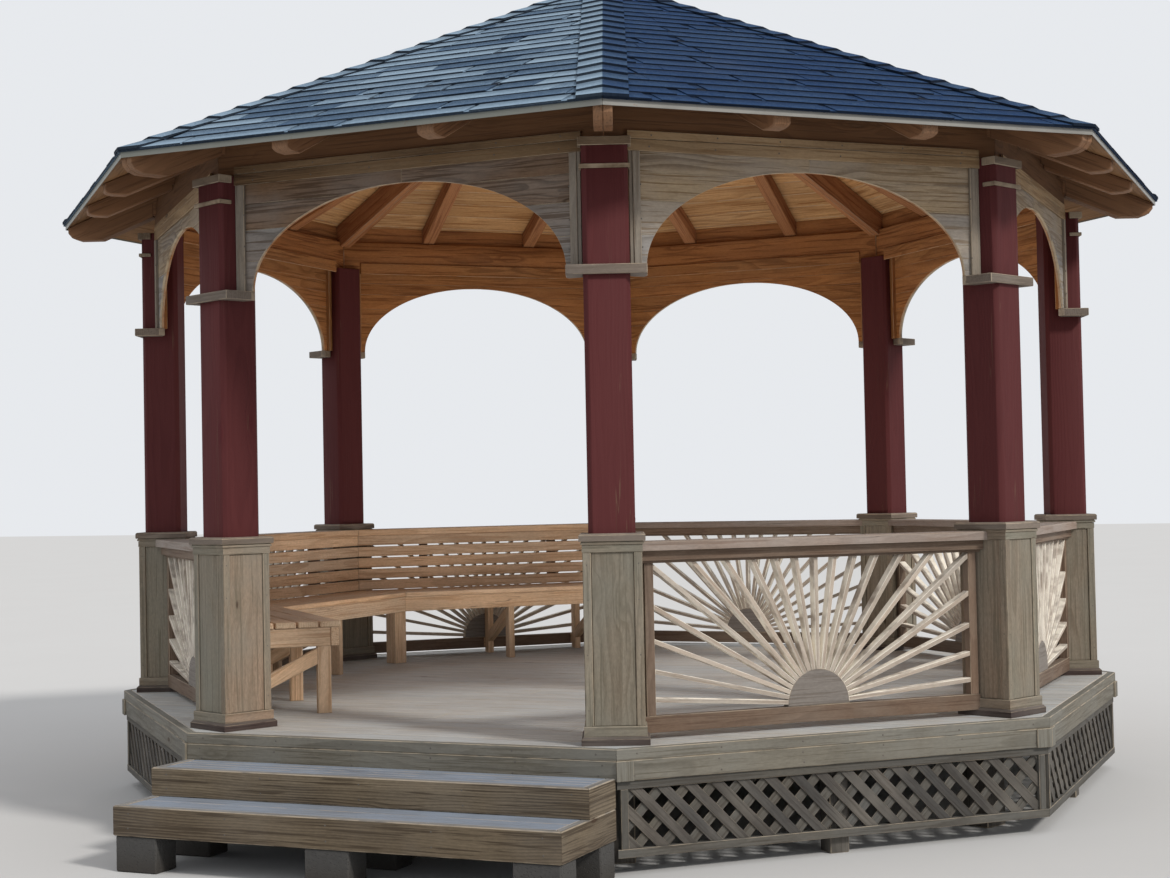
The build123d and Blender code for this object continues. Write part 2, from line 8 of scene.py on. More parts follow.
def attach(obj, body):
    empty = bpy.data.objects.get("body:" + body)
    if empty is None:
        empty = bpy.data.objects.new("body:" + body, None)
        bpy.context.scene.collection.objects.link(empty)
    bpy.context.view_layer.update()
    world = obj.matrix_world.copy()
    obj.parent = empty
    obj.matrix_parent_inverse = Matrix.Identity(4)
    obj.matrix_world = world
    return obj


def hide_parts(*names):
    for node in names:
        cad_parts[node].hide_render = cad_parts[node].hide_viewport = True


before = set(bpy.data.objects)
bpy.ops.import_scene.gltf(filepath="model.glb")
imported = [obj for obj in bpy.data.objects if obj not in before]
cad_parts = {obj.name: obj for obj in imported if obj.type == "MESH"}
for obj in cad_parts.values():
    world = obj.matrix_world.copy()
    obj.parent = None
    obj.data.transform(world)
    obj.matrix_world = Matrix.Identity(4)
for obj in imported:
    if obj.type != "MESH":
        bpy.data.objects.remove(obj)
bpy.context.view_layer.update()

# the building's own measures, in metres, the same as the frame's
plan = {
    "postCircle": 2.4,
    "bayCount": 8,
    "deckTop": 0.5,
    "beamTop": 3.112,
    "postWidth": 0.19,
    "collarTop": 2.424,
    "roofPitch": 5.5 / 12,
    "eaveApothem": 2.70001,
    "eaveLevel": 2.98396,
}
halfTurn = math.radians(22.5)
tanHalf = math.tan(halfTurn)
cosHalf = math.cos(halfTurn)
sinHalf = math.sin(halfTurn)
bayApothem = plan["postCircle"] * cosHalf
bayHalf = bayApothem * tanHalf
jambAt = bayHalf - plan["postWidth"] / 2 / cosHalf
bayAngles = {
    "front": -90, "front_right": -45, "right": 0, "back_right": 45,
    "back": 90, "back_left": 135, "left": 180, "front_left": -135,
}
postAngles = [22.5 + 45 * k for k in range(plan["bayCount"])]
railedBays = [name for name in bayAngles if name != "front"]
benchBays = ["front_left", "left", "back_left"]

# the way a board's grain runs in its own plane, and how deep the pith lies in a timber sawn round it;
# lengths of 0.0002 to 0.001 in the code below are the hairlines between boards
alongA = (1.0, 0.0)
alongB = (0.0, 1.0)
boxHeart = 0.03


# places: each turns a board's own (a, b, t) into a point of the building

def turned(x, y, z, angle):
    c = math.cos(math.radians(angle))
    s = math.sin(math.radians(angle))
    return (x * c - y * s, x * s + y * c, z)


def upInBay(angle, face=0.0):
    # a runs along the bay, b is the level, t runs outward from the face
    return lambda a, b, t: turned(face + t, a, b, angle)


def flatInBay(angle, level=0.0):
    # a runs outward, b runs along the bay, t is the level
    return lambda a, b, t: turned(a, b, level + t, angle)


def sideOnInBay(angle, across=0.0):
    # a runs outward, b is the level, t runs along the bay
    return lambda a, b, t: turned(a, across - t, b, angle)


def onPost(angle, side=0, face=0.0):
    # one of the four faces of a post: a runs across it, b is the level, t runs outward
    def place(a, b, t):
        x, y, z = turned(face + t, a, b, 90 * side)
        return turned(plan["postCircle"] + x, y, z, angle)
    return place


def roofLevel(apothem):
    return plan["eaveLevel"] + (plan["eaveApothem"] - apothem) * plan["roofPitch"]


def onRoof(angle):
    # a runs along the eave, b runs down to the eave, t is the height over the rafters
    return lambda a, b, t: turned(b, -a, roofLevel(b) + t, angle)


# outlines in a board's own plane, counterclockwise

def rect(a0, a1, b0, b1):
    return [(a0, b0), (a1, b0), (a1, b1), (a0, b1)]


def clipped(outline, normal, reach):
    # keeps the part of the outline where the point along the normal is within reach
    kept = []
    for k, p in enumerate(outline):
        q = outline[(k + 1) % len(outline)]
        dp = p[0] * normal[0] + p[1] * normal[1] - reach
        dq = q[0] * normal[0] + q[1] * normal[1] - reach
        if dp <= 0:
            kept.append(p)
        if dp * dq < 0:
            f = dp / (dp - dq)
            kept.append((p[0] + (q[0] - p[0]) * f, p[1] + (q[1] - p[1]) * f))
    return cleaned(kept)


def clippedTo(outline, a0, a1, b0, b1):
    # keeps the part of the outline inside a window
    for normal, reach in (((1, 0), a1), ((-1, 0), -a0), ((0, 1), b1), ((0, -1), -b0)):
        outline = clipped(outline, normal, reach)
    return outline


def bar(start, way, r0, r1, wide):
    # a straight strip that runs its way from a start, between the distances r0 and r1
    side = (-way[1], way[0])
    return [
        (start[0] + way[0] * r + side[0] * w, start[1] + way[1] * r + side[1] * w)
        for r, w in rect(r0, r1, -wide / 2, wide / 2)
    ]


def cleaned(outline):
    kept = []
    for p in outline:
        if not kept or math.dist(p, kept[-1]) > 1e-5:
            kept.append(p)
    if len(kept) > 1 and math.dist(kept[0], kept[-1]) < 1e-5:
        kept.pop()
    return kept


def inset(outline, amount):
    # the outline drawn in by an amount, and by no more than about three times that at a sharp corner
    made = []
    count = len(outline)
    for k in range(count):
        p, q, r = outline[k - 1], outline[k], outline[(k + 1) % count]
        ux, uy = q[0] - p[0], q[1] - p[1]
        vx, vy = r[0] - q[0], r[1] - q[1]
        lu = math.hypot(ux, uy)
        lv = math.hypot(vx, vy)
        n0 = (-uy / lu, ux / lu)
        n1 = (-vy / lv, vx / lv)
        d = 1 + n0[0] * n1[0] + n0[1] * n1[1]
        step = amount / max(d, 0.35)
        made.append((q[0] + (n0[0] + n1[0]) * step, q[1] + (n0[1] + n1[1]) * step))
    return made


class Pile:
    # boards of one piece gathered in one mesh, each with its own grain and tone
    def __init__(self, name, seed):
        self.name = name
        self.luck = random.Random(seed)
        self.points = []
        self.faces = []
        self.grain = []
        self.tone = []
        self.wearAndPaintedLight = []

    def ring(self, outline, t, place, lay):
        start = len(self.points)
        for a, b in outline:
            self.points.append(place(a, b, t))
            self.grain.append(lay(a, b, t))
        return start

    def board(self, outline, low, high, place, ease=0.002, along=alongA, pith=0.16, tone=None, pale=()):
        # a board of any outline with eased edges; along is the way its grain runs, pale the sides marked to
        # take the worn colour, which are raw cut sides on arches and hips and painted light on the sunburst
        # slats
        if len(outline) < 3:
            return
        luck = self.luck
        shift = (luck.uniform(0, 60), luck.uniform(-0.05, 0.05), pith * luck.uniform(0.6, 1.5))
        flip = luck.choice((-1, 1))
        count = len(outline)
        mid = (sum(p[0] for p in outline) / count, sum(p[1] for p in outline) / count)

        def lay(a, b, t):
            u, v = a - mid[0], b - mid[1]
            return (
                u * along[0] + v * along[1] + shift[0],
                (v * along[0] - u * along[1]) * flip + shift[1],
                t - low + shift[2],
            )

        small = inset(outline, ease)
        starts = [
            self.ring(small, low, place, lay),
            self.ring(outline, low + ease, place, lay),
            self.ring(outline, high - ease, place, lay),
            self.ring(small, high, place, lay),
        ]
        self.faces.append([starts[0] + k for k in reversed(range(count))])
        self.wearAndPaintedLight.append(0.0)
        self.faces.append([starts[3] + k for k in range(count)])
        self.wearAndPaintedLight.append(0.0)
        for level in range(3):
            lower, upper = starts[level], starts[level + 1]
            for k in range(count):
                n = (k + 1) % count
                self.faces.append([lower + k, lower + n, upper + n, upper + k])
                self.wearAndPaintedLight.append(1.0 if level != 1 or k in pale else 0.0)
        own = luck.random() if tone is None else tone
        self.tone += [own] * (count * 4)

    def mitred(self, section, halfAt, place, ease=0.002, pith=0.16, tone=None):
        # a moulding along a side: section points are (out, level), its ends lie at halfAt(out)
        luck = self.luck
        shift = (luck.uniform(0, 60), luck.uniform(-0.04, 0.04), pith * luck.uniform(0.6, 1.5))
        corners = []
        count = len(section)
        for k in range(count):
            p, q, r = section[k - 1], section[k], section[(k + 1) % count]
            for other in (p, r):
                f = min(0.3, ease / max(math.dist(q, other), 1e-6))
                corners.append((q[0] + (other[0] - q[0]) * f, q[1] + (other[1] - q[1]) * f))
        base = min(p[0] for p in section)
        level = min(p[1] for p in section)
        count = len(corners)
        starts = []
        for sign in (-1, 1):
            starts.append(len(self.points))
            for x, z in corners:
                u = sign * halfAt(x)
                self.points.append(place(u, z, x))
                self.grain.append((u + shift[0], z - level + shift[1], x - base + shift[2]))
        own = luck.random() if tone is None else tone
        self.tone += [own] * (count * 2)
        for k in range(count):
            n = (k + 1) % count
            self.faces.append([starts[0] + k, starts[0] + n, starts[1] + n, starts[1] + k])
            self.wearAndPaintedLight.append(1.0 if k % 2 == 0 else 0.0)
        self.faces.append([starts[0] + k for k in reversed(range(count))])
        self.faces.append([starts[1] + k for k in range(count)])
        self.wearAndPaintedLight += [0.0, 0.0]

    def loose(self, points, faces, grain, tone, wearAndPaintedLight=0.0):
        start = len(self.points)
        self.points += points
        self.grain += grain
        self.tone += tone if isinstance(tone, list) else [tone] * len(points)
        self.faces += [[start + k for k in face] for face in faces]
        self.wearAndPaintedLight += [wearAndPaintedLight] * len(faces)

    def more(self, back, faces, wearAndPaintedLight):
        # further faces on the last few points
        start = len(self.points) - back
        self.faces += [[start + k for k in face] for face in faces]
        self.wearAndPaintedLight += [wearAndPaintedLight] * len(faces)

    def build(self, material, slot, *nodes):
        mesh = bpy.data.meshes.new(self.name)
        mesh.from_pydata(self.points, [], self.faces)
        outward(mesh)
        carry(mesh, self.grain, self.tone, self.wearAndPaintedLight)
        rest(mesh, self.name, material, slot, nodes)


def carry(mesh, grain, tone, wearAndPaintedLight):
    # what the materials read: a place in the grain and a tone at each point, and a mark on each face for
    # wear and painted light: rubbed edges and raw ends on timber, painted light on the sunburst slats'
    # sides, painted shade on the butts and edges of shingles and hip caps
    places = mesh.attributes.new("grain", "FLOAT_VECTOR", "POINT")
    places.data.foreach_set("vector", [c for g in grain for c in g])
    mesh.attributes.new("tone", "FLOAT", "POINT").data.foreach_set("value", tone)
    mesh.attributes.new("wearAndPaintedLight", "FLOAT", "FACE").data.foreach_set("value", wearAndPaintedLight)


def outward(mesh):
    made = bmesh.new()
    made.from_mesh(mesh)
    bmesh.ops.recalc_face_normals(made, faces=made.faces)
    made.to_mesh(mesh)
    made.free()


def rest(mesh, name, material, slot, nodes):
    # puts a finished mesh into the scene, riding on the one body
    piece = bpy.data.objects.new(name, mesh)
    bpy.context.scene.collection.objects.link(piece)
    mesh.materials.append(material)
    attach(piece, "root")
    if nodes:
        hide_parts(*nodes)


# how the frame's own solids are eased: angles in degrees, lengths in metres, an area in square metres
easing = {"weld": 0.00002, "flat": 1, "sharp": 20, "rubbedUnder": 0.004, "endFacing": 0.85}


def eased(node, width, material, slot, seed, pith=0.16, turn=None, rawBeyond=None):
    # the frame's own solid with its sharp edges taken off, each stick with its own grain;
    # upright faces farther out than rawBeyond are marked as raw ends
    luck = random.Random(seed)
    made = bmesh.new()
    made.from_mesh(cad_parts[node].data)
    bmesh.ops.remove_doubles(made, verts=made.verts, dist=easing["weld"])
    flat = math.radians(easing["flat"])
    bmesh.ops.dissolve_limit(made, angle_limit=flat, verts=made.verts, edges=made.edges)
    bmesh.ops.recalc_face_normals(made, faces=made.faces)
    least = math.radians(easing["sharp"])
    sharp = [
        e for e in made.edges
        if len(e.link_faces) == 2 and e.is_convex and e.calc_face_angle(0) > least
    ]
    old = set(made.faces)
    bmesh.ops.bevel(
        made, geom=sharp, offset=width, offset_type="OFFSET", segments=1, profile=0.5, affect="EDGES",
        clamp_overlap=True,
    )
    made.normal_update()
    worn = [0.0 if f in old or f.calc_area() > easing["rubbedUnder"] else 1.0 for f in made.faces]
    if rawBeyond is not None:
        for k, f in enumerate(made.faces):
            middle = f.calc_center_median().xy
            if middle.length > rawBeyond and f.normal.xy.dot(middle.normalized()) > easing["endFacing"]:
                worn[k] = 1.0
    made.verts.index_update()
    made.verts.ensure_lookup_table()
    grain = [(0.0, 0.0, 0.0)] * len(made.verts)
    tone = [0.0] * len(made.verts)
    for stick in sticksOf(made):
        way = turn if turn is not None else longest(stick)
        mid = sum((v.co for v in stick), Vector()) / len(stick)
        side = Vector((0, 0, 1)) if abs(way.z) < 0.8 else Vector((mid.x, mid.y, 0.001)).normalized()
        side = (side - way * side.dot(way)).normalized()
        third = way.cross(side)
        shift = (luck.uniform(0, 60), luck.uniform(-0.03, 0.03), pith * luck.uniform(0.6, 1.5))
        own = luck.random()
        for v in stick:
            p = v.co - mid
            grain[v.index] = (p.dot(way) + shift[0], p.dot(side) + shift[1], p.dot(third) + shift[2])
            tone[v.index] = own
    mesh = bpy.data.meshes.new(node + "_timber")
    made.to_mesh(mesh)
    made.free()
    carry(mesh, grain, tone, worn)
    rest(mesh, node + "_eased", material, slot, [node])


def sticksOf(made):
    # the separate solids of a mesh, each as its points in order
    left = set(made.verts)
    sticks = []
    while left:
        line = [left.pop()]
        stick = []
        while line:
            v = line.pop()
            stick.append(v)
            for e in v.link_edges:
                other = e.other_vert(v)
                if other in left:
                    left.discard(other)
                    line.append(other)
        sticks.append(sorted(stick, key=lambda v: v.index))
    return sorted(sticks, key=lambda stick: stick[0].index)


def longest(stick):
    # the way the longest edge of a stick runs
    best = Vector((0, 0, 1))
    reach = 0.0
    for v in stick:
        for e in v.link_edges:
            d = e.verts[1].co - e.verts[0].co
            if d.length > reach:
                reach = d.length
                best = d.normalized()
    return best


# materials: small helpers that wire shader nodes

class Finish:
    def __init__(self, name):
        self.material = bpy.data.materials.new(name)
        self.material.use_nodes = True
        self.tree = self.material.node_tree
        self.tree.nodes.clear()
        self.out = self.tree.nodes.new("ShaderNodeOutputMaterial")
        self.shader = self.tree.nodes.new("ShaderNodeBsdfPrincipled")
        self.tree.links.new(self.shader.outputs[0], self.out.inputs[0])

    def put(self, kind, inputs=None, out=0, **settings):
        made = self.tree.nodes.new("ShaderNode" + kind)
        for key, value in settings.items():
            setattr(made, key, value)
        for key, value in (inputs or {}).items():
            self.join(made.inputs[key], value)
        return made.outputs[out]

    def join(self, socket, value):
        if isinstance(value, bpy.types.NodeSocket):
            self.tree.links.new(value, socket)
        elif socket.type == "RGBA":
            socket.default_value = (*value, 1.0)
        else:
            socket.default_value = value

    def calc(self, how, a, b=0.0, c=0.0, clamp=False):
        return self.put("Math", {0: a, 1: b, 2: c}, operation=how, use_clamp=clamp)

    def times(self, a, b):
        return self.calc("MULTIPLY", a, b)

    def plus(self, a, b, clamp=False):
        return self.calc("ADD", a, b, clamp=clamp)

    def less(self, a):
        # what is left of 1
        return self.calc("SUBTRACT", 1.0, a)

    def swing(self, a):
        # a noise swung about nought
        return self.calc("SUBTRACT", a, 0.5)

    def fit(self, a, slope, base, clamp=False):
        return self.calc("MULTIPLY_ADD", a, slope, base, clamp)

    def between(self, value, low, high):
        # 0 below low, 1 above high, smooth in the middle
        ends = {"Value": value, "From Min": low, "From Max": high}
        return self.put("MapRange", ends, interpolation_type="SMOOTHSTEP")

    def mix(self, share, a, b, how="MIX"):
        made = self.tree.nodes.new("ShaderNodeMix")
        made.data_type = "RGBA"
        made.blend_type = how
        made.clamp_factor = True
        self.join(made.inputs[0], share)
        self.join(made.inputs[6], a)
        self.join(made.inputs[7], b)
        return made.outputs[2]

    def scaled(self, vector, size):
        return self.put("VectorMath", {0: vector, 1: size}, operation="MULTIPLY")

    def noise(self, vector, detail=2.0, rough=0.5, scale=1.0, out=0):
        kind = {"Vector": vector, "Scale": scale, "Detail": detail, "Roughness": rough}
        return self.put("TexNoise", kind, out)

    def named(self, name, out):
        return self.put("Attribute", attribute_name=name, out=out)

    def shaded(self, colour, level):
        # a colour made darker or lighter by a level
        return self.mix(1.0, colour, self.put("CombineColor", {0: level, 1: level, 2: level}), "MULTIPLY")

    def surface(self, colour, rough, height, depth, gloss=0.5):
        self.join(self.shader.inputs["Base Color"], colour)
        self.join(self.shader.inputs["Roughness"], rough)
        bump = self.put("Bump", {"Height": height, "Distance": depth, "Strength": 1.0})
        self.join(self.shader.inputs["Normal"], bump)
        self.shader.inputs["Specular IOR Level"].default_value = gloss


def dimmed(colour, share):
    return tuple(c * share for c in colour)


def timber(name, values):
    # sawn boards: growth rings, fibres, knots, fine checks, weather and worn edges
    f = Finish(name)
    v = values
    grain = f.named("grain", 1)
    tone = f.named("tone", 2)
    wearAndPaintedLight = f.named("wearAndPaintedLight", 2)
    place = f.put("TexCoord", out=3)
    parts = f.put("SeparateXYZ", {0: grain})
    across = parts.node.outputs[1]
    depth = parts.node.outputs[2]
    bends = f.put("SeparateColor", {0: f.noise(f.scaled(grain, (1.1, 4.0, 4.0)), 2.0, 0.5, out=1)})
    fibre = f.noise(f.scaled(grain, v["fibreSize"]), 3.0, 0.6)
    streak = f.noise(f.scaled(grain, v["streakSize"]), 3.0, 0.55)
    thread = f.noise(f.scaled(grain, v["threadSize"]), 2.0, 0.55)
    cloud = f.noise(f.scaled(grain, v["cloudSize"]), 2.0, 0.5)
    mottle = f.noise(f.scaled(grain, v["mottleSize"]), 3.0, 0.65)
    # knots in a sparse cloud of cells drawn out along the grain
    knotSize = (1 / v["knotReach"], 1 / v["knotSpan"], 1 / v["knotSpan"])
    cells = f.put("TexVoronoi", {"Vector": f.scaled(grain, knotSize), "Scale": 1.0})
    chosen = f.put("SeparateColor", {0: cells.node.outputs["Color"]})
    picked = f.calc("GREATER_THAN", chosen, 1 - v["knotShare"])
    ratio = f.calc("DIVIDE", cells, f.fit(chosen.node.outputs[1], 0.09, 0.05))
    knot = f.times(f.less(f.between(ratio, 0.75, 1.2)), picked)
    knotBody = f.mix(f.between(ratio, 0.3, 0.75), v["heart"], v["knot"])
    halo = f.times(f.less(f.between(cells, 0.04, 0.4)), picked)
    # rings round a pith that wanders along the board and parts round the knots
    ay = f.fit(f.swing(bends), v["bend"], across)
    az = f.fit(f.swing(bends.node.outputs[1]), v["bend"], depth)
    radius = f.calc("SQRT", f.plus(f.times(ay, ay), f.times(az, az)))
    radius = f.plus(radius, f.times(halo, v["ringSpacing"] * 1.6))
    turn = f.calc("FRACT", f.calc("DIVIDE", radius, v["ringSpacing"]))
    ring = f.times(f.between(turn, 0.25, 0.85), f.less(f.between(turn, 0.9, 1.0)))
    # the dark share of the figure, and long dark threads in it
    figure = f.times(ring, f.times(v["rings"], f.between(cloud, 0.25, 0.75)))
    figure = f.fit(f.swing(streak), v["streaks"], figure)
    figure = f.fit(f.swing(fibre), v["fibres"], figure)
    figure = f.plus(figure, 0.25, clamp=True)
    lines = f.times(f.less(f.between(thread, 0.36, 0.47)), v["lines"])
    figure = f.calc("MAXIMUM", figure, lines)
    # two woods, mixed by the board's own tone and within each board
    body = f.mix(figure, v["light"], v["dark"])
    other = f.mix(figure, v["otherLight"], v["otherDark"])
    patchy = f.times(f.calc("SUBTRACT", cloud, 0.35), 1.2)
    body = f.mix(f.plus(f.times(tone, 0.6), patchy, clamp=True), body, other)
    level = f.fit(f.calc("FRACT", f.times(tone, 7.31)), v["uneven"], 1 - v["uneven"] / 2)
    level = f.times(level, f.fit(f.swing(mottle), v["mottle"] * 2, 1.0))
    body = f.shaded(body, level)
    # weather: grey patches, more on faces that look up
    patch = f.noise(f.scaled(place, (2.1, 2.1, 1.6)), 4.0, 0.6)
    facing = f.put("SeparateXYZ", {0: f.put("NewGeometry", out=1)}).node.outputs[2]
    washed = f.times(f.between(patch, 0.38, 0.68), v["weather"])
    washed = f.plus(washed, f.times(f.between(facing, 0.4, 0.95), v["top"]), clamp=True)
    body = f.mix(washed, body, v["weathered"])
    body = f.mix(f.times(lines, 0.45), body, v["dark"])
    body = f.mix(f.times(halo, 0.35), body, v["dark"])
    body = f.mix(f.times(knot, 0.85), body, knotBody)
    # checks: short dark splits that follow the fibres
    split = f.noise(f.scaled(grain, v["checkSize"]), 1.0, 0.4)
    thin = f.less(f.between(f.calc("ABSOLUTE", f.swing(split)), 0.002, 0.011))
    where = f.between(f.noise(f.scaled(grain, (1.9, 9.0, 9.0)), 1.0, 0.5), 0.6, 0.68)
    check = f.times(f.times(thin, where), v["checks"])
    body = f.mix(check, body, v["knot"])
    # edges rubbed to the raw wood; on the sunburst slats the same mix is painted light on their narrow
    # sides
    rub = f.times(wearAndPaintedLight, f.between(f.noise(f.scaled(place, (9.0, 9.0, 9.0)), 3.0, 0.6), 0.3, 0.6))
    body = f.mix(f.times(rub, v["edges"]), body, v["worn"])
    if "outside" in v:
        # painted shade: timber beyond the beam, under the eaves, is painted darker to stand for the shade
        # there
        sides = f.put("SeparateXYZ", {0: f.put("VectorMath", {0: place}, operation="ABSOLUTE")})
        slant = f.times(f.plus(sides, sides.node.outputs[1]), math.sqrt(0.5))
        out = f.calc("MAXIMUM", f.calc("MAXIMUM", sides, sides.node.outputs[1]), slant)
        eaveShadeColour = f.mix(figure, v["outside"], dimmed(v["outside"], 0.6))
        body = f.mix(f.times(f.between(out, *v["outsideFrom"]), 0.85), body, eaveShadeColour)
    if "cover" in v:
        # a semi-solid stain that lets the coarse figure show faintly
        tint = f.mix(figure, v["cover"], v["coverDark"])
        hold = f.calc("SUBTRACT", 0.97, f.times(f.plus(f.times(rub, 0.5), check), 0.6))
        body = f.mix(hold, body, tint)
    height = f.fit(ring, 0.4, f.fit(lines, -0.6, f.times(fibre, 0.5)))
    height = f.calc("SUBTRACT", height, f.plus(f.times(check, 2.0), f.times(knot, 0.4)))
    f.surface(body, f.fit(fibre, 0.25, v["rough"] - 0.1, clamp=True), height, v["relief"], v["gloss"])
    return f.material


timberBase = {
    "light": (0.40, 0.29, 0.18), "dark": (0.22, 0.13, 0.07),
    "otherLight": (0.37, 0.29, 0.20), "otherDark": (0.21, 0.15, 0.09),
    "weathered": (0.26, 0.235, 0.20), "knot": (0.045, 0.025, 0.014), "worn": (0.50, 0.41, 0.30),
    "heart": (0.15, 0.10, 0.065), "top": 0.28, "mottle": 0.30,
    "knotReach": 0.42, "knotSpan": 0.13, "knotShare": 0.22, "bend": 0.07, "ringSpacing": 0.011,
    "rings": 0.55, "streaks": 0.75, "fibres": 0.45, "lines": 0.75, "uneven": 0.24, "weather": 0.35,
    "checks": 0.5, "edges": 0.5, "rough": 0.72, "relief": 0.0010, "gloss": 0.25,
    "fibreSize": (5.0, 240.0, 240.0), "streakSize": (0.9, 26.0, 26.0), "threadSize": (2.4, 88.0, 88.0),
    "cloudSize": (1.3, 5.0, 5.0), "mottleSize": (45.0, 130.0, 130.0), "checkSize": (1.3, 60.0, 60.0),
    "outsideFrom": (2.2, 2.25),
}


def timberLike(name, **changes):
    return timber(name, {**timberBase, **changes})


redStain = timberLike(
    "barn_red_stain", cover=(0.090, 0.0182, 0.0218), coverDark=(0.062, 0.0123, 0.0155), rough=0.6,
    gloss=0.1, relief=0.0007, weather=0.1, edges=0.2, worn=(0.16, 0.048, 0.045), streaks=0.35, rings=0.3,
    mottle=0.12, lines=0.3,
)
pedestalBoards = timberLike(
    "pedestal_boards", light=(0.228, 0.212, 0.166), dark=(0.13, 0.118, 0.086),
    otherLight=(0.287, 0.206, 0.147), otherDark=(0.176, 0.114, 0.074), weathered=(0.209, 0.212, 0.185),
    weather=0.4, checks=0.35, knotShare=0.42, knotReach=0.34, knotSpan=0.115, mottle=0.4,
    heart=(0.22, 0.2, 0.18),
)
collarBoards = timberLike(
    "collar_boards", light=(0.1995, 0.1663, 0.1396), dark=(0.1253, 0.1004, 0.0817),
    otherLight=(0.1902, 0.148, 0.113), otherDark=(0.1148, 0.0864, 0.0627),
    weathered=(0.1995, 0.176, 0.1577),
)
stripBoards = timberLike(
    "jamb_strips", light=(0.26, 0.215, 0.165), dark=(0.155, 0.12, 0.085), otherLight=(0.225, 0.2, 0.17),
    otherDark=(0.13, 0.112, 0.092), weathered=(0.24, 0.23, 0.215),
)
trimBoards = timberLike(
    "head_trim", light=(0.175, 0.1178, 0.0669), dark=(0.097, 0.0607, 0.0317),
    otherLight=(0.175, 0.1306, 0.0933), otherDark=(0.097, 0.0708, 0.0493), weather=0.2,
)
rimBoards = timberLike(
    "rim_boards", light=(0.2, 0.182, 0.146), dark=(0.11, 0.096, 0.071), otherLight=(0.19, 0.182, 0.158),
    otherDark=(0.107, 0.099, 0.082), weathered=(0.193, 0.192, 0.173), weather=0.5, knotShare=0.3,
    rings=0.7, knotReach=0.3, knotSpan=0.09, heart=(0.08, 0.06, 0.04),
)
riserBoards = timberLike(
    "step_faces", light=(0.23, 0.18, 0.118), dark=(0.075, 0.053, 0.032), otherLight=(0.108, 0.08, 0.052),
    otherDark=(0.048, 0.034, 0.022), weathered=(0.24, 0.238, 0.235), weather=0.1, rings=0.9, streaks=0.9,
    knotShare=0.28, top=0.92, lines=1,
)
# the treads' blue-grey, strongest on their upward faces, is partly their own weathered grey, partly painted
# sky reflection
treadBoards = timberLike(
    "step_treads", light=(0.243, 0.257, 0.284), dark=(0.14, 0.142, 0.148),
    otherLight=(0.22, 0.245, 0.284), otherDark=(0.124, 0.133, 0.148), weathered=(0.25, 0.292, 0.361),
    weather=0.5, top=0.5,
)
latticeBoards = timberLike(
    "lattice_strips", light=(0.098, 0.086, 0.074), dark=(0.048, 0.041, 0.034),
    otherLight=(0.078, 0.076, 0.073), otherDark=(0.038, 0.036, 0.034), uneven=0.45, knotShare=0.1,
)
skirtBoards = timberLike(
    "skirt_frames", light=(0.115, 0.104, 0.085), dark=(0.06, 0.05, 0.039),
    otherLight=(0.102, 0.099, 0.09), otherDark=(0.053, 0.048, 0.042), weathered=(0.111, 0.113, 0.109),
)
footBoards = timberLike(
    "foot_boards", light=(0.072, 0.048, 0.041), dark=(0.036, 0.022, 0.019),
    otherLight=(0.068, 0.051, 0.049), otherDark=(0.032, 0.023, 0.022), weather=0.2, edges=0.35,
)
railBoards = timberLike(
    "rail_caps", light=(0.34, 0.262, 0.215), dark=(0.21, 0.14, 0.102), otherLight=(0.31, 0.265, 0.235),
    otherDark=(0.185, 0.144, 0.119), weathered=(0.336, 0.305, 0.283), knotShare=0.12,
)
frameBoards = timberLike(
    "rail_frames", light=(0.203, 0.135, 0.092), dark=(0.112, 0.066, 0.043),
    otherLight=(0.182, 0.135, 0.102), otherDark=(0.101, 0.069, 0.05), weather=0.22, knotShare=0.12,
)
hubBoards = timberLike(
    "sunburst_hubs", light=(0.24, 0.212, 0.189), dark=(0.144, 0.12, 0.101),
    otherLight=(0.224, 0.207, 0.198), otherDark=(0.132, 0.116, 0.106), weather=0.2,
)
# painted light: the worn colour, near white, is painted on the slats' narrow sides as a highlight
slatBoards = timberLike(
    "sunburst_slats", light=(0.5, 0.415, 0.335), dark=(0.33, 0.25, 0.19), otherLight=(0.47, 0.42, 0.36),
    otherDark=(0.31, 0.26, 0.215), weathered=(0.507, 0.488, 0.45), weather=0.3, knotShare=0.06, edges=1,
    worn=(0.88, 0.83, 0.73), checks=0.25,
)
# the bench boards are a bright orange: partly their own cedar, partly painted sunlight
benchBoards = timberLike(
    "bench_boards", light=(0.737, 0.496, 0.309), dark=(0.433, 0.253, 0.136),
    otherLight=(0.673, 0.513, 0.371), otherDark=(0.4, 0.268, 0.173), weather=0.22, knotShare=0.12,
)
panelOuter = timberLike(
    "panel_boards", light=(0.44, 0.33, 0.20), dark=(0.215, 0.14, 0.07), otherLight=(0.245, 0.245, 0.25),
    otherDark=(0.145, 0.14, 0.135), weathered=(0.3, 0.3, 0.305), rings=0.9, bend=0.13, weather=0.3,
    knotShare=0.14, edges=0.75, worn=(0.55, 0.45, 0.31), lines=0.95,
)
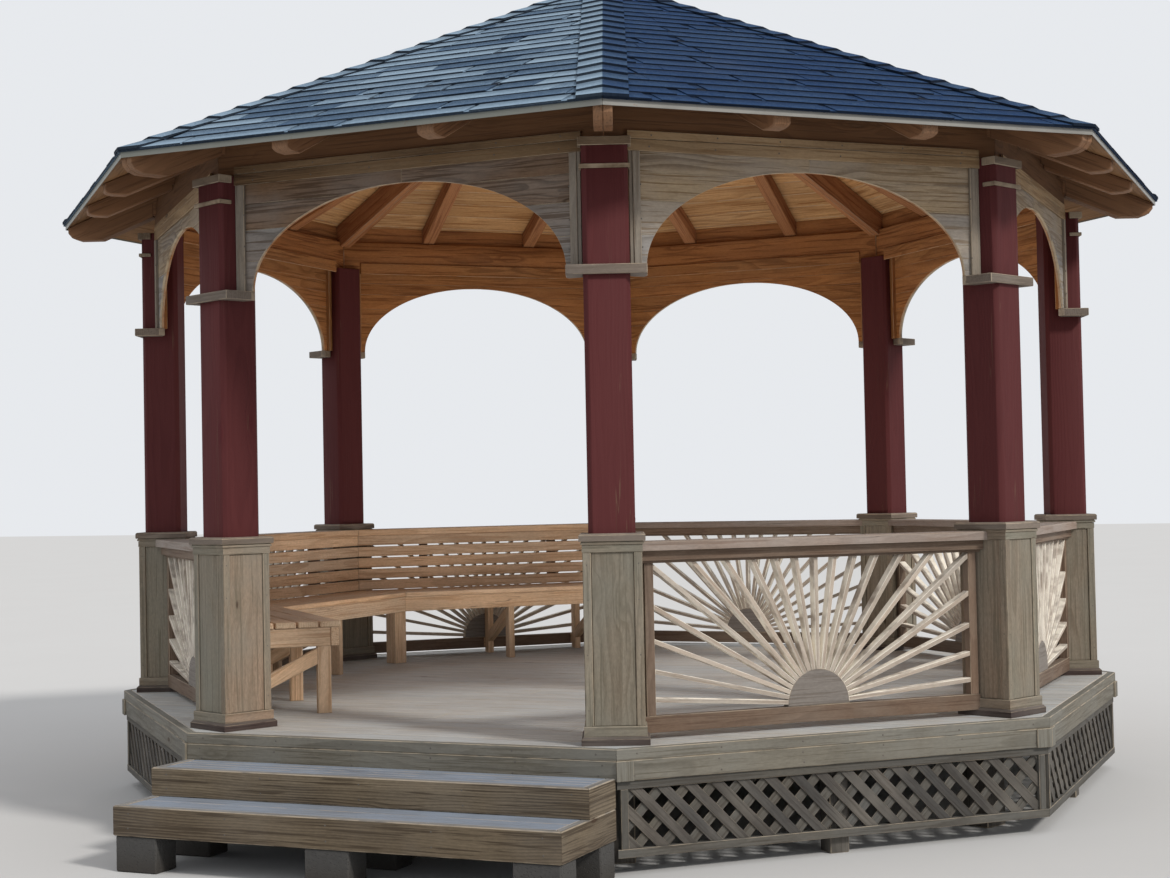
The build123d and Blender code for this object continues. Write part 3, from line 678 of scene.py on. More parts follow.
# the front bay's outer boards are darker and browner than the other bays': partly their own wood, partly
# painted shade
panelFront = timberLike(
    "panel_boards_front", light=(0.175, 0.093, 0.04), dark=(0.07, 0.034, 0.013),
    otherLight=(0.245, 0.235, 0.225), otherDark=(0.145, 0.132, 0.12), weathered=(0.215, 0.205, 0.195),
    rings=0.9, bend=0.13, weather=0.3, knotShare=0.14, edges=0.75, worn=(0.55, 0.45, 0.31), lines=0.95,
)
headerBoards = timberLike(
    "header_strips", light=(0.44, 0.31, 0.175), dark=(0.25, 0.155, 0.077),
    otherLight=(0.105, 0.057, 0.025), otherDark=(0.055, 0.028, 0.012), weather=0.1, knotShare=0.34,
    knotSpan=0.09, lines=0.95,
)
panelInner = timberLike(
    "panel_boards_inside", light=(0.4547, 0.196, 0.0637), dark=(0.1904, 0.0672, 0.0184),
    otherLight=(0.4245, 0.2083, 0.0788), otherDark=(0.168, 0.0717, 0.0227), weather=0.05, bend=0.1,
    top=0.05, lines=0.8,
)
roofTimber = timberLike(
    "roof_timber", light=(0.47, 0.209, 0.082), dark=(0.247, 0.091, 0.033), otherLight=(0.4, 0.193, 0.089),
    otherDark=(0.212, 0.086, 0.039), weather=0.04, knotShare=0.18, edges=0.5, worn=(0.31, 0.262, 0.21),
    top=0.04, lines=0.95, outside=(0.235, 0.125, 0.066),
)
beamTimber = timberLike(
    "beam_timber", light=(0.4245, 0.1758, 0.0551), dark=(0.168, 0.056, 0.0151),
    otherLight=(0.3842, 0.1714, 0.0605), otherDark=(0.1456, 0.0549, 0.0184), weather=0.04, knotShare=0.34,
    knotSpan=0.1, outside=(0.135, 0.07, 0.035), top=0.04, lines=0.8,
)
# the ceiling boards are lighter than the other roof timber: partly their own wood, partly painted light
# thrown up from the deck
ceilingBoards = timberLike(
    "ceiling_boards", light=(0.62, 0.344, 0.14), dark=(0.33, 0.145, 0.045),
    otherLight=(0.58, 0.361, 0.175), otherDark=(0.3, 0.155, 0.062), weather=0.08, knotShare=0.3,
    knotSpan=0.085, outside=(0.21, 0.108, 0.046), top=0.05, lines=0.95, knotReach=0.3,
)
deckBoards = timberLike(
    "deck_planks", light=(0.5264, 0.4938, 0.4434), dark=(0.3156, 0.2735, 0.2363),
    otherLight=(0.4997, 0.5017, 0.4867), otherDark=(0.29, 0.2735, 0.2609),
    weathered=(0.4879, 0.5243, 0.5487), top=0.3,
)


def shingleFinish(name, values):
    # mineral granules over asphalt: a speckle, a tone for each tab, a painted shadow line under each butt
    f = Finish(name)
    grain = f.named("grain", 1)
    tone = f.named("tone", 2)
    wearAndPaintedLight = f.named("wearAndPaintedLight", 2)
    place = f.put("TexCoord", out=3)
    speck = f.put("TexVoronoi", {"Vector": grain, "Scale": 420.0})
    colours = f.put("SeparateColor", {0: speck.node.outputs["Color"]})
    coarse = f.noise(grain, 4.0, 0.65, 38.0)
    cloud = f.noise(place, 3.0, 0.55, 1.7)
    blend = f.plus(tone, f.fit(f.swing(colours), 0.3, f.times(f.swing(coarse), 0.6)))
    blend = f.fit(f.swing(cloud), 0.4, blend, clamp=True)
    body = f.put("ValToRGB", {0: blend})
    stops = body.node.color_ramp.elements
    stops[0].color = (*values["dark"], 1.0)
    stops[1].color = (*values["light"], 1.0)
    stops.new(0.5).color = (*values["middle"], 1.0)
    stain = f.between(f.noise(f.scaled(place, (1.2, 1.2, 0.7)), 5.0, 0.65), 0.54, 0.75)
    body = f.mix(f.times(stain, 0.14), body, values["dust"])
    # painted light: each shingle is painted lighter towards its butt, as a highlight, and painted dark
    # under the one above, as shade; the faces marked for it, butts and edges, take the same painted shade
    covered = f.put("SeparateXYZ", {0: grain}).node.outputs[2]
    body = f.shaded(body, f.fit(f.between(covered, 0.0, values["shadeFrom"]), -0.5, 1.28))
    shadeMask = f.calc("MAXIMUM", f.between(covered, values["shadeFrom"], values["shadeTo"]), wearAndPaintedLight)
    body = f.mix(f.times(shadeMask, 0.92), body, values["shade"])
    rough = f.fit(colours.node.outputs[1], 0.15, 0.78)
    f.surface(body, rough, f.fit(coarse, 0.6, speck), 0.0010, 0.08)
    return f.material


slateColours = {
    "dark": (0.006, 0.027, 0.086), "middle": (0.056, 0.099, 0.162), "light": (0.214, 0.297, 0.385),
    "dust": (0.12, 0.14, 0.165), "shade": (0.006, 0.009, 0.016), "shadeFrom": 0.0965, "shadeTo": 0.1055,
}
slate = shingleFinish("slate_shingles", slateColours)
slateCaps = shingleFinish("slate_hip_caps", {**slateColours, "shadeFrom": 0.1370, "shadeTo": 0.1455})


def paintedMetal(name, colour, leftShade, rust):
    # thin folded metal with a chalky coat, painted shade on the left half, and a little rust where it is
    # cut
    f = Finish(name)
    place = f.put("TexCoord", out=3)
    chalk = f.noise(f.scaled(place, (6.0, 6.0, 20.0)), 4.0, 0.6)
    body = f.mix(f.between(chalk, 0.35, 0.7), colour, dimmed(colour, 0.8))
    left = f.put("SeparateXYZ", {0: place})
    # painted shade: metal on the left of the building is painted the darker colour
    body = f.mix(f.times(f.between(f.times(left, -1.0), -1.15, -1.0), 0.8), body, leftShade)
    spots = f.between(f.noise(place, 4.0, 0.7, 26.0), 0.66, 0.72)
    body = f.mix(f.times(spots, 0.8), body, rust)
    f.surface(body, f.fit(chalk, 0.3, 0.3), chalk, 0.0006)
    return f.material


creamMetal = paintedMetal("cream_drip_edge", (0.25, 0.243, 0.222), (0.22, 0.23, 0.20), (0.20, 0.10, 0.05))
nailMetal = paintedMetal("nail_heads", (0.10, 0.085, 0.07), (0.09, 0.08, 0.07), (0.12, 0.05, 0.02))


def blockFinish(name):
    # cast block: pores and sand, darker towards the foot
    f = Finish(name)
    place = f.put("TexCoord", out=3)
    sand = f.noise(place, 6.0, 0.7, 60.0)
    pores = f.put("TexVoronoi", {"Vector": place, "Scale": 95.0})
    level = f.put("SeparateXYZ", {0: place}).node.outputs[2]
    body = f.mix(sand, (0.028, 0.027, 0.026), (0.085, 0.082, 0.078))
    body = f.mix(f.less(f.between(level, 0.0, 0.12)), body, (0.04, 0.035, 0.03))
    pit = f.between(pores, 0.0, 0.35)
    body = f.mix(f.times(f.less(pit), 0.6), body, (0.04, 0.038, 0.035))
    f.surface(body, f.fit(sand, 0.2, 0.75), f.plus(sand, pit), 0.003)
    return f.material


castBlock = blockFinish("cast_block")
print("finishes mixed")

# posts, and what is only eased: each keeps the frame's own shape
up = Vector((0, 0, 1))
# node, ease, material, slot and seed; some have the pith's depth, the grain's way and where raw ends begin
easedPieces = [
    ("posts", 0.003, redStain, "red_stain", 11, boxHeart, up),
    ("post_collars", 0.003, collarBoards, "panel_boards", 12),
    ("post_head_bands", 0.002, trimBoards, "panel_boards", 13),
    ("ring_beam", 0.004, beamTimber, "roof_timber", 14),
    ("eave_blocking", 0.002, beamTimber, "roof_timber", 15),
    ("jack_rafters", 0.005, roofTimber, "roof_timber", 16, 0.16, None, 2.65),
    ("roof_hub_block", 0.006, roofTimber, "roof_timber", 17, boxHeart, up),
    ("rail_caps", 0.003, railBoards, "cedar_trim", 18),
    ("subrails", 0.002, frameBoards, "cedar_trim", 19),
    ("corner_covers", 0.002, rimBoards, "treated_timber", 22, 0.16, up),
    ("corner_piers", 0.005, latticeBoards, "treated_timber", 23, boxHeart, up),
    ("side_piers", 0.004, latticeBoards, "treated_timber", 24, boxHeart, up),
    ("centre_pier", 0.005, latticeBoards, "treated_timber", 25, boxHeart, up),
    ("floor_joists", 0.003, latticeBoards, "treated_timber", 26),
    ("bench_seats", 0.004, benchBoards, "cedar_trim", 27),
    ("bench_backs", 0.003, benchBoards, "cedar_trim", 28),
    ("bench_back_battens", 0.002, frameBoards, "cedar_trim", 29, 0.16, up),
    ("bench_corner_legs", 0.004, benchBoards, "cedar_trim", 30, boxHeart, up),
    ("step_feet", 0.006, castBlock, "grey_block", 31),
    ("drip_edge", 0.0006, creamMetal, "edge_metal", 32),
    ("apex_cap", 0.003, slateCaps, "slate_shingles", 33),
]
for piece in easedPieces:
    eased(*piece)
print("posts, beam, rails, benches and piers eased")

# pedestals: fields between corner boards, a frieze and a neck, all round each post
pedestal = {
    "bottom": 0.576, "friezeAt": 1.268, "neckAt": 1.299, "capAt": 1.312, "capTop": 1.343,
    "width": 0.240, "core": 0.228, "corner": 0.034, "frieze": 0.244, "neck": 0.254, "cap": 0.268,
    "footAt": 0.5, "foot": 0.274, "plinth": 0.252, "plinthAt": 0.536, "gap": 0.0015,
    "cornerDeep": 0.02, "clear": 0.001,
    # the tones of single faces by post and side, and of the others
    "warmFaces": {(247.5, 1): 0.95, (337.5, 3): 0.85}, "coolest": 0.02, "warmest": 0.3,
}


def pedestalPiles():
    p = pedestal
    body = Pile("pedestal_boards", 101)
    foot = Pile("pedestal_feet_boards", 102)
    cap = Pile("pedestal_cap_boards", 103)
    start = plan["postWidth"] / 2 + p["clear"]

    def course(pile, z0, z1, out, nose, place, ease, tone=None):
        # one moulding round the post, its upper outer corner cut back by the nose
        half = out / 2
        section = [(start, z0), (half, z0), (half, z1 - nose), (half - nose, z1), (start, z1)]
        pile.mitred(section, lambda x: x, place, ease, tone=tone)

    for angle in postAngles:
        for side in range(4):
            place = onPost(angle, side)
            half = p["width"] / 2
            field = half - p["corner"] - p["gap"]
            tone = p["warmFaces"].get((angle, side), body.luck.uniform(p["coolest"], p["warmest"]))
            outline = rect(-field, field, p["bottom"] + p["clear"], p["friezeAt"] - p["clear"])
            body.board(outline, start, p["core"] / 2, place, 0.002, alongB, 0.10, tone)
            for sign in (-1, 1):
                a0, a1 = sorted((sign * (half - p["corner"]), sign * (half - 0.0003)))
                outline = rect(a0, a1, p["bottom"] + 0.0005, p["friezeAt"] - 0.0005)
                low = p["core"] / 2 - p["cornerDeep"]
                body.board(outline, low, half, place, 0.0025, alongB, 0.05, tone * 0.6 + 0.1)
            course(body, p["friezeAt"], p["neckAt"] - p["clear"], p["frieze"], 0.001, place, 0.001, tone)
            course(body, p["neckAt"], p["capAt"] - 0.0005, p["neck"], 0.004, place, 0.001, tone)
            course(foot, p["footAt"], p["plinthAt"], p["foot"], 0.010, place, 0.0015)
            course(body, p["plinthAt"] + 0.0005, p["bottom"], p["plinth"], 0.002, place, 0.001, tone)
            course(cap, p["capAt"], p["capTop"], p["cap"], 0.006, place, 0.002)
    body.build(pedestalBoards, "treated_timber", "pedestals")
    foot.build(footBoards, "cedar_trim", "pedestal_feet")
    cap.build(collarBoards, "cedar_trim", "pedestal_caps")


pedestalPiles()
print("pedestals boarded")

# arched panels: a thin skin of boards outside and one inside, cut along the arch, with strips at the ends
arch = {
    "offset": 0.045, "thick": 0.022, "halfSpan": bayHalf - 0.1604, "rise": 0.418, "steps": 14,
    "gap": 0.0009, "ease": 0.0009, "legTop": 2.70, "legTone": 0.95, "insideTone": 0.4,
    "outerJoints": [2.424, 2.556, 2.695, 2.812, 2.94],
    "innerJoints": [2.424, 2.512, 2.604, 2.698, 2.79, 2.86, 2.94],
    "scribe": 0.015, "pilaster": 0.034, "pilasterThick": 0.016, "scribeThick": 0.010,
    "inner": 0.030, "innerThick": 0.022, "stripTop": 2.8955, "innerTop": 2.9395,
}
archOuter = bayApothem + arch["offset"]
archInner = archOuter - arch["thick"]
archSplit = archOuter - arch["thick"] / 2


def postSide(out):
    # where the post's own face stands at a distance from the centre of the building
    return jambAt + (out - bayApothem) * tanHalf


def archSkin(pile, place, low, high, end, joints, legTone):
    a = arch
    crown = plan["collarTop"] + a["rise"]
    for z0, z1 in zip(joints[:-1], joints[1:]):
        tone = legTone if z0 < a["legTop"] - 0.01 else pile.luck.uniform(0.0, 0.25)
        z0 += a["gap"] / 2
        z1 -= a["gap"] / 2
        if z0 >= crown:
            pile.board(rect(-end, end, z0, z1), low, high, place, a["ease"], tone=tone)
            continue
        # under the crown a board is in two parts, cut along the curve
        for side in (-1, 1):
            curve = []
            for k in range(a["steps"] + 1):
                z = z0 + (min(z1, crown - 0.0001) - z0) * k / a["steps"]
                f = (z - plan["collarTop"]) / a["rise"]
                curve.append((a["halfSpan"] * math.sqrt(max(0.0, 1 - f * f)), z))
            if z1 > crown:
                curve += [(0.0005, crown), (0.0005, z1)]
            outline = [(end, z0), (end, z1)] + curve[::-1]
            outline = cleaned([(side * x, z) for x, z in outline])
            if side < 0:
                outline = outline[::-1]
            # the sides along the curve are left raw
            near = a["halfSpan"] + 0.001
            cut = {k for k, (x, z) in enumerate(outline) if abs(x) < near and z < crown - 0.0002}
            pile.board(outline, low, high, place, a["ease"], tone=tone, pale=cut)


def archPiles():
    a = arch
    for name, angle in bayAngles.items():
        outside = Pile("arch_boards_" + name, 200 + int(angle))
        inside = Pile("arch_inside_" + name, 300 + int(angle))
        strips = Pile("arch_strips_" + name, 400 + int(angle))
        place = upInBay(angle)
        end = postSide(archSplit) - 0.001
        archSkin(outside, place, archSplit, archOuter, end, a["outerJoints"], a["legTone"])
        end = postSide(archInner) - 0.001
        archSkin(inside, place, archInner, archSplit - 0.0003, end, a["innerJoints"], a["insideTone"])
        edge = postSide(archOuter) - 0.0005
        innerFace = archInner - a["innerThick"]
        innerEdge = postSide(innerFace) - 0.0005
        for side in (-1, 1):

            def strip(pile, out, wide, base, thick, top, ease, side=side):
                a0, a1 = sorted((side * out, side * (out - wide)))
                outline = rect(a0, a1, plan["collarTop"], top)
                pile.board(outline, base, base + thick, place, ease, alongB)

            strip(strips, edge, a["scribe"] - 0.0005, archOuter, a["scribeThick"], a["stripTop"], 0.001)
            out = edge - a["scribe"]
            strip(strips, out, a["pilaster"] - 0.001, archOuter, a["pilasterThick"], a["stripTop"], 0.0025)
            thick = a["innerThick"] - 0.0002
            strip(inside, innerEdge, a["inner"], innerFace, thick, a["innerTop"], 0.002)
        outside.build(panelFront if name == "front" else panelOuter, "panel_boards", "arch_panel_" + name)
        inside.build(panelInner, "panel_boards", "arch_panel_" + name)
        strips.build(stripBoards, "panel_boards", "arch_panel_" + name)


archPiles()

# header boards outside in two strips, ledge boards inside on the beam, in every bay
header = {
    "courses": [(2.896, 2.945, 0.012), (2.947, 2.980, 0.010)], "ledge": (2.912, 2.980, 0.012),
    "beamHalf": 0.038, "frontTone": 0.97, "mostTone": 0.2,
}


def headerPiles():
    outside = Pile("header_strips", 501)
    inside = Pile("ledge_strips", 502)
    beamInner = bayApothem - header["beamHalf"]

    def strip(pile, place, base, thick, z0, z1, ease, tone=None):
        section = rect(base, base + thick, z0, z1)
        pile.mitred(section, lambda x: postSide(x) - 0.0006, place, ease, tone=tone)

    for name, angle in bayAngles.items():
        place = upInBay(angle)
        for z0, z1, thick in header["courses"]:
            # the front bay's header takes the dark wood: partly its own colour, partly painted shade
            tone = header["frontTone"] if name == "front" else outside.luck.uniform(0.0, header["mostTone"])
            strip(outside, place, archOuter + 0.0003, thick - 0.0003, z0, z1, 0.0015, tone)
        z0, z1, thick = header["ledge"]
        strip(inside, place, beamInner - thick, thick - 0.0003, z0, z1, 0.002)
    outside.build(headerBoards, "panel_boards", "header_boards")
    inside.build(panelInner, "panel_boards", "header_boards")


headerPiles()
print("arches and headers boarded")

# hip rafters: two plies side by side with a blunt rounded tail
hip = {
    "ply": 0.0375, "joint": 0.0012, "depth": 0.152, "inner": 0.122, "drop": 0.0072, "setback": 0.022,
    "cut": 0.180, "nose": 0.060, "end": 0.036, "round": 0.35, "notchIn": 2.3425, "notchOut": 2.4415,
}


def hipPile():
    h = hip
    pile = Pile("hip_plies", 601)
    reach = plan["eaveApothem"] / cosHalf
    slope = plan["roofPitch"] * cosHalf

    def line(x):
        return plan["eaveLevel"] + (reach - x) * slope

    def foot(x):
        return (x, line(x) - h["depth"])

    end = reach - h["setback"]
    heel = end - h["cut"]
    low = plan["beamTop"] + 0.0005
    under = foot(heel)[1]
    face = h["notchOut"] - 0.0002
    tip = line(end) - h["end"]
    outline = [
        (h["inner"], line(h["inner"]) - h["drop"]), foot(h["inner"]),
        foot(h["notchIn"]), (h["notchIn"], low), (h["notchOut"], low), foot(h["notchOut"]),
        (heel, under), (end - h["nose"], under),
        (end - h["nose"] * h["round"], under + (tip - under) * h["round"]), (end, tip),
        (end, line(end) - h["drop"]),
    ]
    for angle in postAngles:
        for side in (-1, 1):
            t0, t1 = sorted((side * h["joint"] / 2, side * h["ply"]))
            shift = pile.luck.uniform(-0.0015, 0.0)
            lowered = [(x, z + shift) for x, z in outline]
            pile.board(lowered, t0, t1, sideOnInBay(angle), 0.003, (0.92, -0.39), pale=(7, 8, 9))
            # a wedge fills the notch out to the beam's slanting face
            wedge = [(face - h["ply"] * tanHalf, side * h["ply"]), (face, 0.0), (face, side * h["ply"])]
            pile.board(wedge[::side], foot(wedge[0][0])[1], low, flatInBay(angle), 0.0004)
    pile.build(roofTimber, "roof_timber", "hip_rafters")


hipPile()

# roof boards in courses along the eaves, seen from below as the ceiling
ceiling = {
    "courses": 21, "layer": 0.022, "gap": 0.0008, "peak": 0.012, "least": 0.004, "ease": 0.0035,
    "greyCourses": (3, 4), "greyTone": 0.95,
}


def roofBoardPile():
    c = ceiling
    pile = Pile("roof_board_courses", 701)
    step = (plan["eaveApothem"] - c["peak"]) / c["courses"]
    for angle in bayAngles.values():
        for k in range(c["courses"]):
            b1 = plan["eaveApothem"] - k * step
            b0 = b1 - step + c["gap"]
            h0 = b0 * tanHalf - 0.0006
            h1 = b1 * tanHalf - 0.0006
            if h0 <= c["least"]:
                continue
            outline = [(-h0, b0), (-h1, b1), (h1, b1), (h0, b0)]
            tone = c["greyTone"] if k in c["greyCourses"] else None
            pile.board(outline[::-1], 0.0005, c["layer"] - 0.0005, onRoof(angle), c["ease"], tone=tone)
    pile.build(ceilingBoards, "roof_timber", "roof_boards")


roofBoardPile()

# shingles in courses: a base strip with long heavier tabs on it; each side of the roof is painted its own
# light level, as painted light and shade
shingles = {
    "eave": 2.716, "exposure": 0.1105, "lap": 0.045, "low": 0.0222, "high": 0.0300, "back": 0.0230,
    "tab": 0.0060, "thin": 0.0036, "narrow": 0.16, "wide": 0.60, "gapMin": 0.005, "gapMax": 0.05,
    "joint": 0.0025, "drops": (0.0, 0.0, 0.002, 0.004), "ragged": (0.002, 0.0035), "hipGap": 0.0012,
    "slantShare": 0.55, "slant": 0.04, "spread": 0.46, "peak": 0.004, "edgeShade": 0.35,
    # painted light: how much lighter or darker each side's shingles are painted
    "shade": {
        "front": 0.80, "front_right": 0.08, "right": 0.07, "back_right": 0.34,
        "back": 0.5, "back_left": 0.5, "left": 0.62, "front_left": 0.72,
    },
}


def shinglePiles():
    s = shingles
    for name, angle in bayAngles.items():
        pile = Pile("shingle_courses_" + name, 800 + int(angle))
        shade = s["shade"][name]
        b1 = s["eave"]
        while b1 > 0.02:
            head = max(b1 - s["exposure"] - s["lap"], s["peak"])

            def place(a, b, t, b1=b1, head=head):
                # t is 0 at the underside and 1 at the top of the course, which rises to its butt
                top = s["back"] + (s["high"] - s["back"]) * (b - head) / (b1 - head)
                lift = s["low"] + (top - s["low"]) * min(t, 1.0) + max(t - 1.0, 0.0)
                return turned(b, -a, roofLevel(b) + lift, angle)

            def strip(outline, low, high, tone, b1=b1, place=place):
                for sign in (-1, 1):
                    outline = clipped(outline, (sign * cosHalf, -sinHalf), -s["hipGap"])
                shingleStrip(pile, outline, place, low, high, tone, b1)

            half = b1 * tanHalf
            strip(rect(-half, half, head, b1 - pile.luck.uniform(*s["ragged"])), 0.0, 1.0, shade)
            a = -half - pile.luck.uniform(0.0, 0.3)
            lean = 0.0
            while a < half:
                wide = pile.luck.uniform(s["narrow"], s["wide"])
                drop = pile.luck.choice(s["drops"])
                thick = pile.luck.uniform(s["thin"], s["tab"])
                slanted = pile.luck.random() < s["slantShare"]
                nextLean = pile.luck.uniform(-1.0, 1.0) * s["slant"] if slanted else 0.0
                outline = [
                    (a + lean, head), (a + wide + nextLean, head), (a + wide, b1 - drop), (a, b1 - drop),
                ]
                strip(outline, 1.0, 1.0 + thick, shade * (1 + pile.luck.uniform(-1.0, 1.0) * s["spread"]))
                # a leaning cut is a tight joint, a straight one leaves a gap
                a += wide + (s["joint"] if slanted else pile.luck.uniform(s["gapMin"], s["gapMax"]))
                lean = nextLean
            b1 -= s["exposure"]
        pile.build(slate, "slate_shingles", "roof_shingles")


def shingleStrip(pile, outline, place, low, high, tone, butt):
    # a flat strip: top, bottom and edges; its grain carries the distance up from the butt
    if len(outline) < 3:
        return
    count = len(outline)
    offset = pile.luck.uniform(0, 40)
    points = []
    grain = []
    for t in (low, high):
        for a, b in outline:
            points.append(place(a, b, t))
            grain.append((a + offset, b, butt - b))
    flats = [[count + k for k in range(count)], list(reversed(range(count)))]
    pile.loose(points, flats, grain, tone)
    for k in range(count):
        n = (k + 1) % count
        # painted shade: the butt face takes it in full, the other edges a share of it
        lower = abs(outline[k][1] - outline[n][1]) < 0.001 and butt - outline[k][1] < 0.005
        wearAndPaintedLight = 1.0 if lower else shingles["edgeShade"]
        pile.more(len(points), [[k, n, count + n, count + k]], wearAndPaintedLight)


shinglePiles()

# hip caps: folded shingles lapped up each hip, each with a thick butt
hipCaps = {
    "half": 0.1045, "exposure": 0.152, "lap": 0.04, "low": 0.0342, "butt": 0.0472, "rear": 0.0350,
    "outer": 2.719, "inner": 0.279, "thick": 0.0125, "tail": 0.0015, "fold": 0.003, "lighter": 0.10,
    "spread": 0.12,
}


def hipCapPile():
    h = hipCaps
    pile = Pile("hip_cap_shingles", 901)
    shadeAt = {bayAngles[name] % 360: shade for name, shade in shingles["shade"].items()}
    for angle in postAngles:
        # the two flanks take the painted light level of the sides they lie on, a little lighter
        shades = [shadeAt[(angle + turn) % 360] + h["lighter"] for turn in (-22.5, 22.5)]
        s1 = h["outer"] / cosHalf - 0.0006
        first = True
        while s1 > h["inner"] + 0.01:
            s0 = max(s1 - h["exposure"] - h["lap"], h["inner"])
            offset = pile.luck.uniform(0, 40)
            half = h["half"] - pile.luck.uniform(0.0, 0.003)
            points = []
            grain = []
            stations = (-half, -half / 2, -h["fold"], h["fold"], half / 2, half)
            for w in stations:
                lower = s1 - (abs(w) * tanHalf if first else 0.0) - 0.0005
                for s, lift in ((s0, h["rear"]), (lower, h["butt"])):
                    roof = roofLevel(s * cosHalf + abs(w) * sinHalf)
                    for level in (lift - (h["thick"] if s == lower else h["tail"]), lift):
                        points.append(turned(s, w, roof + max(level, h["low"] - 0.001), angle))
                        grain.append((w + offset, s, lower - s))
            luckTone = pile.luck.uniform(-h["spread"], h["spread"])
            tones = [(shades[0] if w < 0 else shades[1]) + luckTone for w in stations for _ in range(4)]
            faces = []
            # the butt and both ends of each cap are marked to take the painted shade
            dark = []
            for k in range(len(stations) - 1):
                p, q = 4 * k, 4 * (k + 1)
                faces.append([p + 1, q + 1, q + 3, p + 3])
                faces.append([p, p + 2, q + 2, q])
                faces.append([p, q, q + 1, p + 1])
                dark.append([p + 2, p + 3, q + 3, q + 2])
            e = 4 * (len(stations) - 1)
            dark += [[0, 1, 3, 2], [e, e + 2, e + 3, e + 1]]
            pile.loose(points, faces, grain, tones)
            pile.more(len(points), dark, 1.0)
            s1 -= h["exposure"]
            first = False
    pile.build(slateCaps, "slate_shingles", "hip_caps")


hipCapPile()
print("roof boarded and shingled")

# sunburst panels: a frame, slats fanning from a half hub
sunburst = {
    "frameHalf": 0.022, "low": 0.526, "windowLow": 0.594, "top": 1.215, "stile": 0.046, "hub": 0.145,
    "hubLevel": 0.602, "slats": 21, "slatWide": 0.019, "slatHalf": 0.0212, "hubHalf": 0.022,
    "clear": 0.0003, "slatLong": 2.0, "ease": 0.002, "slatEase": 0.0018,
}
windowHalf = bayHalf - pedestal["core"] / 2 / cosHalf - sunburst["stile"]


def sunburstPiles():
    s = sunburst
    for name in railedBays:
        angle = bayAngles[name]
        frames = Pile("sunburst_frame_" + name, 1000 + int(angle))
        pile = Pile("sunburst_slats_" + name, 1050 + int(angle))
        place = upInBay(angle, bayApothem)
        d = s["frameHalf"]
        # the foot rail and the stiles run up to the pedestals, whose faces stand at a slant
        reach = bayHalf - pedestal["width"] / 2 / cosHalf

        def endAt(x):
            return reach + (x - bayApothem) * tanHalf - 0.001

        rail = rect(bayApothem - d, bayApothem + d, s["low"], s["windowLow"])
        frames.mitred(rail, endAt, upInBay(angle), s["ease"])
        for side in (-1, 1):
            a0, a1 = sorted((side * windowHalf, side * (windowHalf + s["stile"] - 0.006)))
            frames.board(rect(a0, a1, s["windowLow"] + 0.0004, s["top"]), -d, d, place, s["ease"], alongB)
        turnStep = math.pi / s["slats"]
        c = s["clear"]
        for k in range(s["slats"]):
            t = (k + 0.5) * turnStep
            way = (math.cos(t), math.sin(t))
            slat = bar((0.0, s["hubLevel"]), way, s["hub"] - 0.001, s["slatLong"], s["slatWide"])
            slat = clippedTo(slat, c - windowHalf, windowHalf - c, s["windowLow"] + c, s["top"] - c)
            # painted light: the slats' narrow sides are painted pale, as if lit, against their faces
            pale = range(len(slat))
            pile.board(slat, -s["slatHalf"], s["slatHalf"], place, s["slatEase"], way, 0.08, pale=pale)
        corner = s["hub"] / math.cos(turnStep / 2)
        hubShape = [(corner, s["windowLow"] + c)]
        for k in range(s["slats"] + 1):
            t = k * turnStep
            hubShape.append((corner * math.cos(t), s["hubLevel"] + corner * math.sin(t)))
        hubShape.append((-corner, s["windowLow"] + c))
        hub = Pile("sunburst_hub_" + name, 1080 + int(angle))
        hub.board(cleaned(hubShape), -s["hubHalf"], s["hubHalf"], place, 0.003, alongA, 0.05)
        hub.build(hubBoards, "cedar_trim", "sunburst_" + name)
        frames.build(frameBoards, "cedar_trim", "sunburst_" + name)
        pile.build(slatBoards, "cedar_trim", "sunburst_" + name)


sunburstPiles()
print("sunburst panels framed")

# deck: planks from side to side, cut to the octagon
deck = {
    "plank": 0.139, "gap": 0.005, "thick": 0.030, "apothem": 2.4018, "under": 0.462,
    "joints": (None, -0.6, 0.6, 0.2, -0.2), "jointedTo": 2.0, "batten": 0.040, "battens": 10,
    "battenSpan": 0.4, "battenReach": 2.38,
}


def deckPile():
    d = deck
    pile = Pile("deck_planks", 1101)
    low = plan["deckTop"] - d["thick"]
    y = -d["apothem"]
    while y < d["apothem"]:
        outline = rect(-d["apothem"], d["apothem"], y, min(y + d["plank"], d["apothem"]))
        for angle in bayAngles.values():
            t = math.radians(angle)
            outline = clipped(outline, (math.cos(t), math.sin(t)), d["apothem"] - 0.0005)
        if len(outline) >= 3:
            joint = pile.luck.choice(d["joints"])
            parts = [outline]
            if joint is not None and abs(y) <= d["jointedTo"]:
                ends = ((1, joint), (-1, -joint))
                parts = [clipped(outline, (way, 0), reach - 0.001) for way, reach in ends]
            for part in parts:
                pile.board(part, low, plan["deckTop"], flatInBay(0), 0.003)
        y += d["plank"] + d["gap"]
    # the planks bear on a thin layer of battens on the joists
    half = d["batten"] / 2
    for k in range(d["battens"]):
        x = (k + 0.5 - d["battens"] / 2) * d["battenSpan"]
        reach = min(d["battenReach"], d["battenReach"] * math.sqrt(2) - abs(x) - 0.03)
        batten = rect(x - half, x + half, -reach, reach)
        pile.board(batten, d["under"], low - 0.0003, flatInBay(0), 0.001, alongB)
    pile.build(deckBoards, "deck_planks", "deck_floor")


deckPile()

# rim boards in two courses round the deck
rim = {
    "inner": 2.4022, "outer": 2.44001,
    "courses": [("rim_boards_upper", 0.454, 0.4998), ("rim_boards_lower", 0.374, 0.4535)],
}


def mitreAt(x):
    # where two boards meet at a corner of the octagon
    return x * tanHalf - 0.0008


